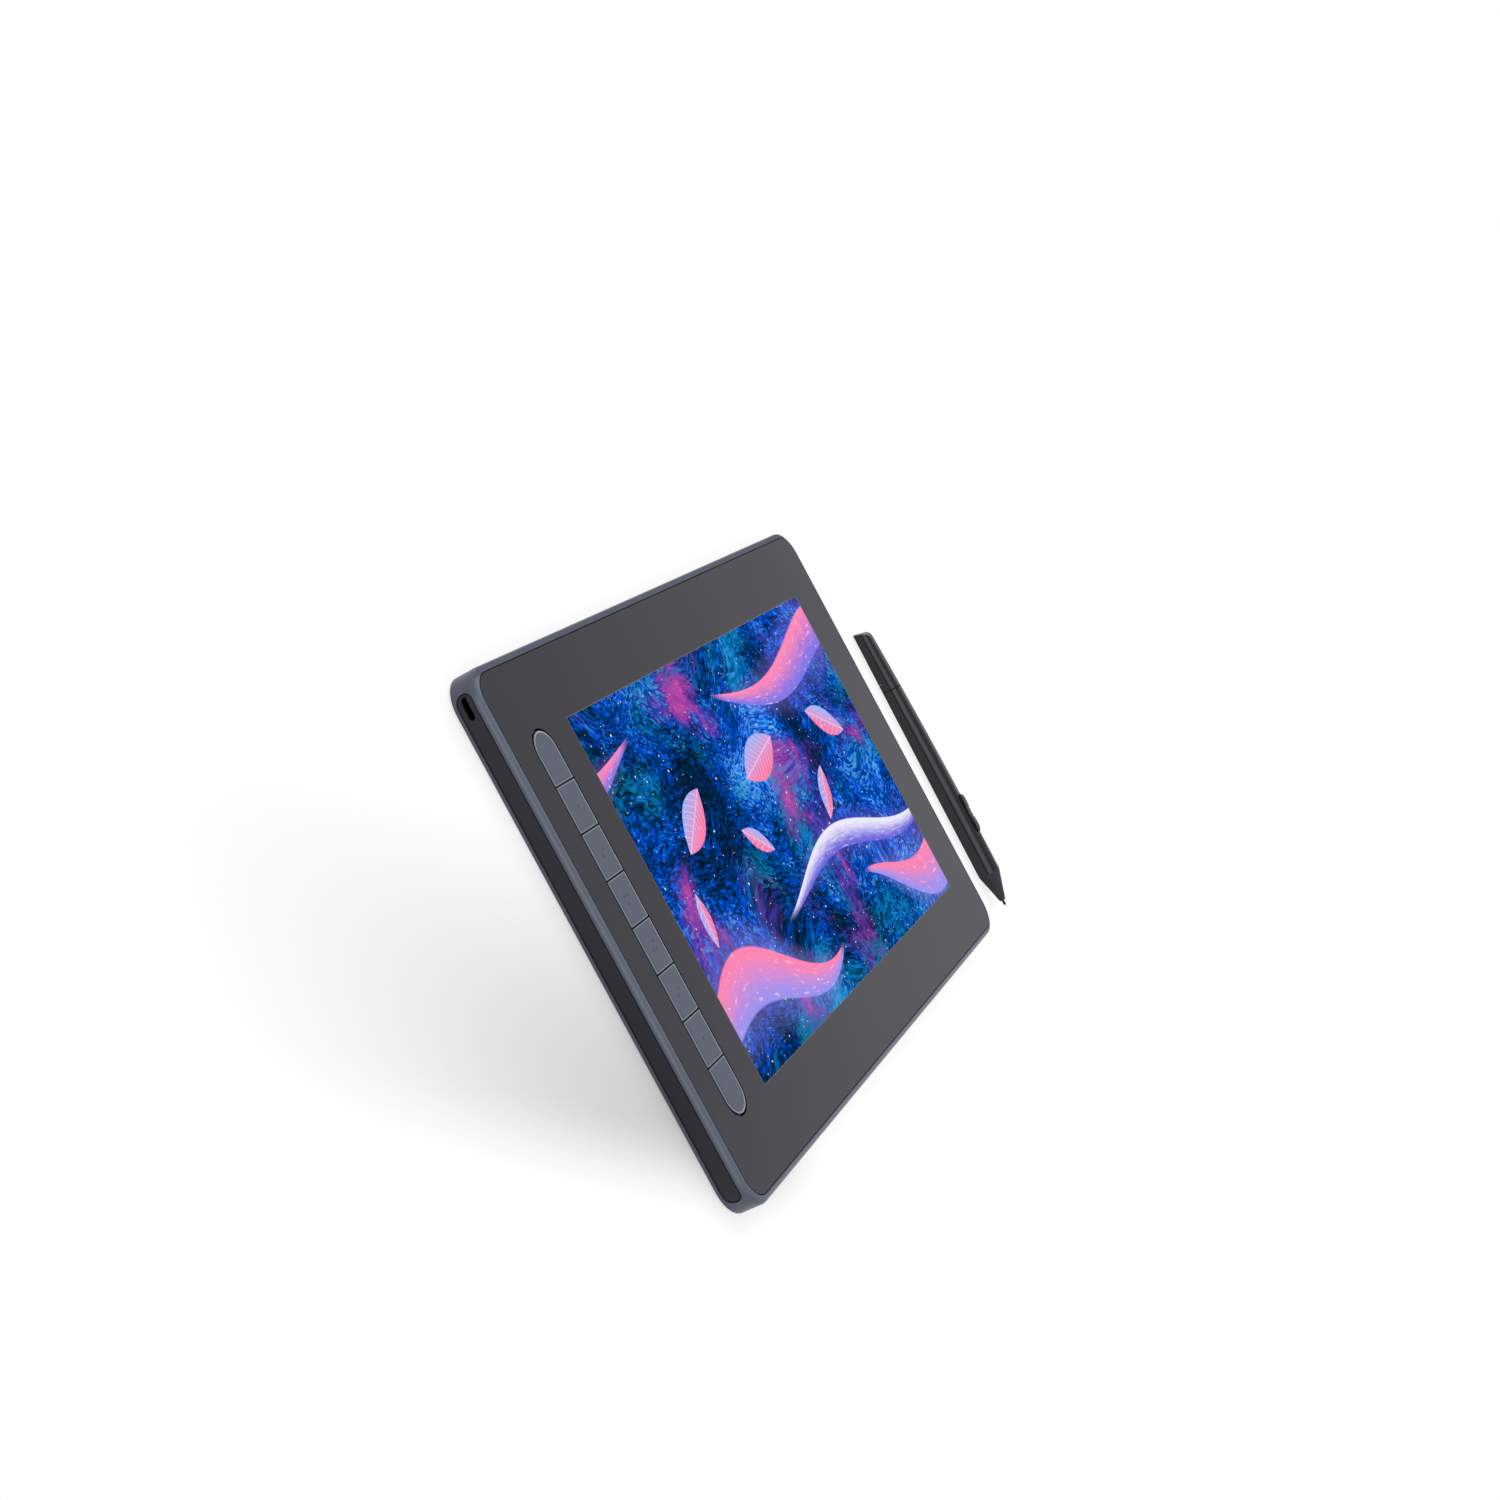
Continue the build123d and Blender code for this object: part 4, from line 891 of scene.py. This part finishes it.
tray_steel = metal("pressed_tray_steel", shade(186, 188, 192), 0.36, BRUSHED)
screw_steel = metal("black_screw_steel", shade(58, 58, 62), 0.36)
dress(tray_steel, "panel_tray", "shield_plate")
dress(metal("cast_frame_alloy", shade(170, 172, 176), 0.48, grain=0.9 * MM), "mid_frame")
dress(metal("port_sleeve_steel", shade(62, 62, 66), 0.36, BRUSHED), "usb_c_shell")
dress(screw_steel, "case_screws", "board_screws", "pen_rocker_pin")

# %% [markdown]
# ## Circuit boards
# A board is green lacquer over copper lines. The lines are waves that run askew over the
# board, bent by large soft noise, which also leaves some areas without lines. The gilt pads
# are the middles of scattered cells.

# %% Circuit boards
TRACK_PITCH = 0.9 * MM
TRACK_BEND = 6 * MM
TRACK_AREA_SIZE = 9 * MM
TRACK_HEIGHT = 0.02 * MM
PAD_PITCH = 3.2 * MM
PAD_GILT = shade(214, 176, 96)


def board(name, lacquer, track):
    finish = Finish(name)
    place = finish.place()
    x, y, z = finish.parts(place)
    area = finish.noise(finish.shift(place, (1, 1, 0)), TRACK_AREA_SIZE, detail=0)
    lines = ((x + y * 0.5 + area * TRACK_BEND) * (math.tau / TRACK_PITCH)).wave()
    lines = finish.smooth(lines, 0.35, 0.6) * finish.smooth(area, 0.46, 0.5)
    pads = finish.smooth(finish.cells(place, PAD_PITCH), 0.16, 0.13)
    tone = finish.mix(lines * 0.7, lacquer, track)
    tone = finish.mix(pads, tone, PAD_GILT)
    finish.coat(tone, finish.spread(pads.larger(lines * 0.5), 0.42, 0.28))
    finish.set("Metallic", pads * 0.9)
    finish.raise_by(pads.larger(lines), TRACK_HEIGHT)
    return finish


board_look = board("green_circuit_board", shade(18, 92, 56), shade(44, 134, 84))
dress(board_look, "main_board", "key_board", "port_board", "power_board")
dress(board_look, "sensor_board", "pen_board")

# %% [markdown]
# A flat cable is amber film with copper lines inside. The film could be made see-through, but
# it is so thin that lines of a darker amber look the same and render faster.

# %% Flat cables
CABLE_LINE_PITCH = 0.7 * MM
CABLE_LINE_HEIGHT = 0.01 * MM
FILM_AMBER = shade(196, 122, 38)
LINE_AMBER = shade(150, 84, 32)


def flat_cable(name):
    finish = Finish(name)
    x, y, z = finish.parts(finish.place())
    lines = finish.smooth(((x + y) * (math.tau / CABLE_LINE_PITCH)).wave(), 0.0, 0.4)
    tone = finish.mix(lines, FILM_AMBER, LINE_AMBER)
    finish.coat(tone, finish.spread(lines, 0.30, 0.38))
    finish.raise_by(lines, CABLE_LINE_HEIGHT)
    return finish


cable_look = flat_cable("amber_flat_cable")
dress(cable_look, "port_ribbon", "power_ribbon", "key_ribbon", "panel_ribbon")

# %% [markdown]
# ## Small moulded pieces inside
# Chips, switches, guides and carriers are moulded as the keys are, in their own colours.

# %% Inner plastics
COARSE = {"grain": 0.4 * MM, "depth": 0.02 * MM}
tape_look = moulded("foam_tape_black", shade(30, 30, 32), 0.9, **COARSE)
ferrite_look = moulded("ferrite_grey", shade(58, 58, 62), 0.6, **COARSE)
switch_look = moulded("switch_black", shade(48, 48, 52), 0.5)
guide_look = moulded("guide_black", shade(58, 58, 62), 0.6)
dress(moulded("chip_black", shade(38, 38, 42), 0.55), "board_parts", "sensor_header")
dress(switch_look, "key_switches", "power_switch", "pen_switches")
dress(guide_look, "key_guide", "pen_cradle", "pen_force_sensor")
dress(moulded("port_tongue_black", shade(28, 28, 30), 0.5), "usb_c_tongue")
dress(tape_look, "glass_tape")
dress(moulded("lamp_strip_white", shade(236, 230, 190), 0.5), "led_bar")
dress(ferrite_look, "pen_ferrite")

# %% [markdown]
# ## Light sheets and panel
# The panel is two glass plates, dark when it gives no light. Behind it lie prism films, a clear
# guide with a print of dots, and a white reflector.

# %% Light sheets and panel
DOT_PITCH = 1.4 * MM
DOT_HEIGHT = 0.01 * MM


def dotted_sheet(name, colour, dot, roughness):
    finish = Finish(name, IOR=1.49)
    dots = finish.smooth(finish.cells(finish.place(), DOT_PITCH), 0.30, 0.24)
    tone = finish.mix(dots, colour, dot)
    finish.coat(tone, finish.spread(dots, roughness, roughness + 0.2))
    finish.raise_by(dots, DOT_HEIGHT)
    return finish


acrylic, print_dot = shade(214, 224, 228), shade(246, 248, 248)
white, pressed_dot = shade(240, 240, 240), shade(232, 232, 232)
acrylic_look = dotted_sheet("light_guide_acrylic", acrylic, print_dot, 0.12)
reflector_look = dotted_sheet("reflector_white", white, pressed_dot, 0.35)
film_look = metal("prism_film", shade(210, 212, 216), 0.22, (40, 1, 1), grain=0.4 * MM)
panel_look = moulded(
    "panel_glass", shade(14, 15, 20), 0.12, grain=0.3 * MM, depth=0.0005 * MM, IOR=1.5
)
dress(acrylic_look, "light_guide")
dress(reflector_look, "reflector_sheet")
dress(film_look, "film_stack")
dress(panel_look, "lcd_cell")

# %% [markdown]
# ## Coil in the pen
# Behind the point sits a coil of enamelled copper wire. Its turns are a sine wave along the
# pen, which drives the colour, the shine and the bump together. The colour is darker in the
# grooves between turns, a painted shade.

# %% Wound copper
WIRE_PITCH = 0.12 * MM
WIRE_HEIGHT = 0.04 * MM
SHADED_GROOVE_COPPER = shade(136, 70, 40)
CREST_COPPER = shade(206, 122, 78)


def wound_copper(name):
    finish = Finish(name, Metallic=1.0)
    along = finish.parts(finish.place())[1]
    turns = (along * (math.tau / WIRE_PITCH)).wave() * 0.5 + 0.5
    # The grooves are painted darker: painted shade.
    tone = finish.mix(turns, SHADED_GROOVE_COPPER, CREST_COPPER)
    finish.coat(tone, finish.spread(turns, 0.4, 0.25))
    finish.raise_by(turns, WIRE_HEIGHT)
    return finish


dress(wound_copper("wound_copper"), "pen_coil")
print("pieces without a finish:", sorted(set(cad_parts) - set(finishes)))

# %% [markdown]
# ## Floor
# The object lies on a pale floor that runs out into a white world. A curved backdrop would
# hide the horizon, but a plane twelve metres wide does so too when the world is as white.

# %% Floor
FLOOR_HALF = 6.0
floor_z = cad_low.z
near_corners = [(-FLOOR_HALF, -FLOOR_HALF), (FLOOR_HALF, -FLOOR_HALF)]
far_corners = [(FLOOR_HALF, FLOOR_HALF), (-FLOOR_HALF, FLOOR_HALF)]
corners = [(x, y, floor_z) for x, y in near_corners + far_corners]
floor_mesh = bpy.data.meshes.new("floor")
floor_mesh.from_pydata(corners, [], [(0, 1, 2, 3)])
floor = bpy.data.objects.new("floor", floor_mesh)
scene.collection.objects.link(floor)
print("floor at", round(floor_z, 5))

# %% [markdown]
# Off the left-hand end, the photograph has a broad soft grey on its floor, wider than a
# shadow of so flat an object. There a painted shadow makes both the paint and the floor's
# light darker, by a mask with soft borders. Two run along a slanted line, and three along the
# floor's axes.

# %% Painted shadow on the floor
SHADOW_PATCH_STRENGTH = 0.42
LINE_SLANT = 0.57
LINE_OFFSET = 0.20
LINE_BORDERS = [(-0.005, 0.04), (0.17, 0.03)]
X_BORDERS = [(-0.40, -0.15), (-0.08, -0.14)]
Y_BORDERS = [(-0.126, -0.096)]


def painted_shadow_patch(finish, x, y):
    """How dark the painted shadow is at a point of the floor, in metres."""
    past_line = y + x * LINE_SLANT + LINE_OFFSET
    painted_shadow = SHADOW_PATCH_STRENGTH
    for way, borders in ((past_line, LINE_BORDERS), (x, X_BORDERS), (y, Y_BORDERS)):
        for begins, is_full in borders:
            painted_shadow = finish.smooth(way, begins, is_full) * painted_shadow
    return painted_shadow


print("patch darkens by", SHADOW_PATCH_STRENGTH)

# %% [markdown]
# The floor's paint is a mid grey that takes the object's shadow, and it gives light of its
# own. The two together read as white. That light is told apart by the kind of ray that asks
# for it. The camera's rays, and those that come by way of gloss or glass, see it. The soft
# light that reaches the object's sides doesn't, so the object isn't lit from below.

# %% Paint and light of the floor
FLOOR_GLOW = 0.71
FLOOR_GREY = shade(149, 149, 149)


def seen_directly(graph):
    """1 for the camera and for what shows in or through glass and metal, else 0."""
    camera_ray, glossy_ray, through_ray = [
        graph.node("ShaderNodeLightPath", {}, {}, output=name)
        for name in ("Is Camera Ray", "Is Glossy Ray", "Is Transmission Ray")
    ]
    return camera_ray.larger(glossy_ray).larger(through_ray)


floor_paint = Finish("floor_paint", Roughness=0.9, Emission_Strength=1.0)
x, y, z = floor_paint.parts(floor_paint.place())
painted_shadow = painted_shadow_patch(floor_paint, x, y)
# The painted shadow darkens the floor's light and its paint.
glow = floor_paint.mix(painted_shadow, (FLOOR_GLOW, FLOOR_GLOW, FLOOR_GLOW, 1), BLACK)
floor_paint.set("Base Color", floor_paint.mix(painted_shadow, FLOOR_GREY, BLACK))
floor_paint.set("Emission Color", floor_paint.mix(seen_directly(floor_paint), BLACK, glow))
floor_mesh.materials.append(floor_paint.material)
print("floor's own light:", FLOOR_GLOW)

# %% [markdown]
# ## Light
# The world is white to the camera and to reflections. For all else it is an even light of
# half that strength, and with two suns it shows colours about as they are written. Suns are
# used as lamps, because they light a floor evenly however large it is, and a wide sun throws
# a soft shadow. The near sun stands on the camera's side and draws the light line along the
# pen, and the far sun lights the sides that face away.

# %% World and suns
WORLD_LIGHT = 0.50
world = bpy.data.worlds.new("studio")
world.use_nodes = True
scene.world = world
room = Graph(world.node_tree)
ambient = (WORLD_LIGHT, WORLD_LIGHT, WORLD_LIGHT * 1.02, 1)
tint = room.mix(seen_directly(room), ambient, WHITE)
background = room.node("ShaderNodeBackground", {}, {"Color": tint, "Strength": 1.0})
room.node("ShaderNodeOutputWorld", {}, {"Surface": background})


def sun(name, toward, strength, angle_degrees):
    """A far lamp that shines from the side that toward points to."""
    data = bpy.data.lights.new(name, "SUN")
    data.energy = strength
    data.angle = math.radians(angle_degrees)
    lamp = bpy.data.objects.new(name, data)
    lamp.rotation_mode = "QUATERNION"
    lamp.rotation_quaternion = Vector(toward).to_track_quat("Z", "Y")
    scene.collection.objects.link(lamp)


sun("near_sun", toward=(-0.80, 0.0, 0.60), strength=1.1, angle_degrees=44)
sun("far_sun", toward=(0.40, 0.40, 0.82), strength=0.9, angle_degrees=50)

# %% [markdown]
# ## View transform
# Colours are shown with the standard view transform.

# %% Standard view transform
scene.view_settings.view_transform = "Standard"
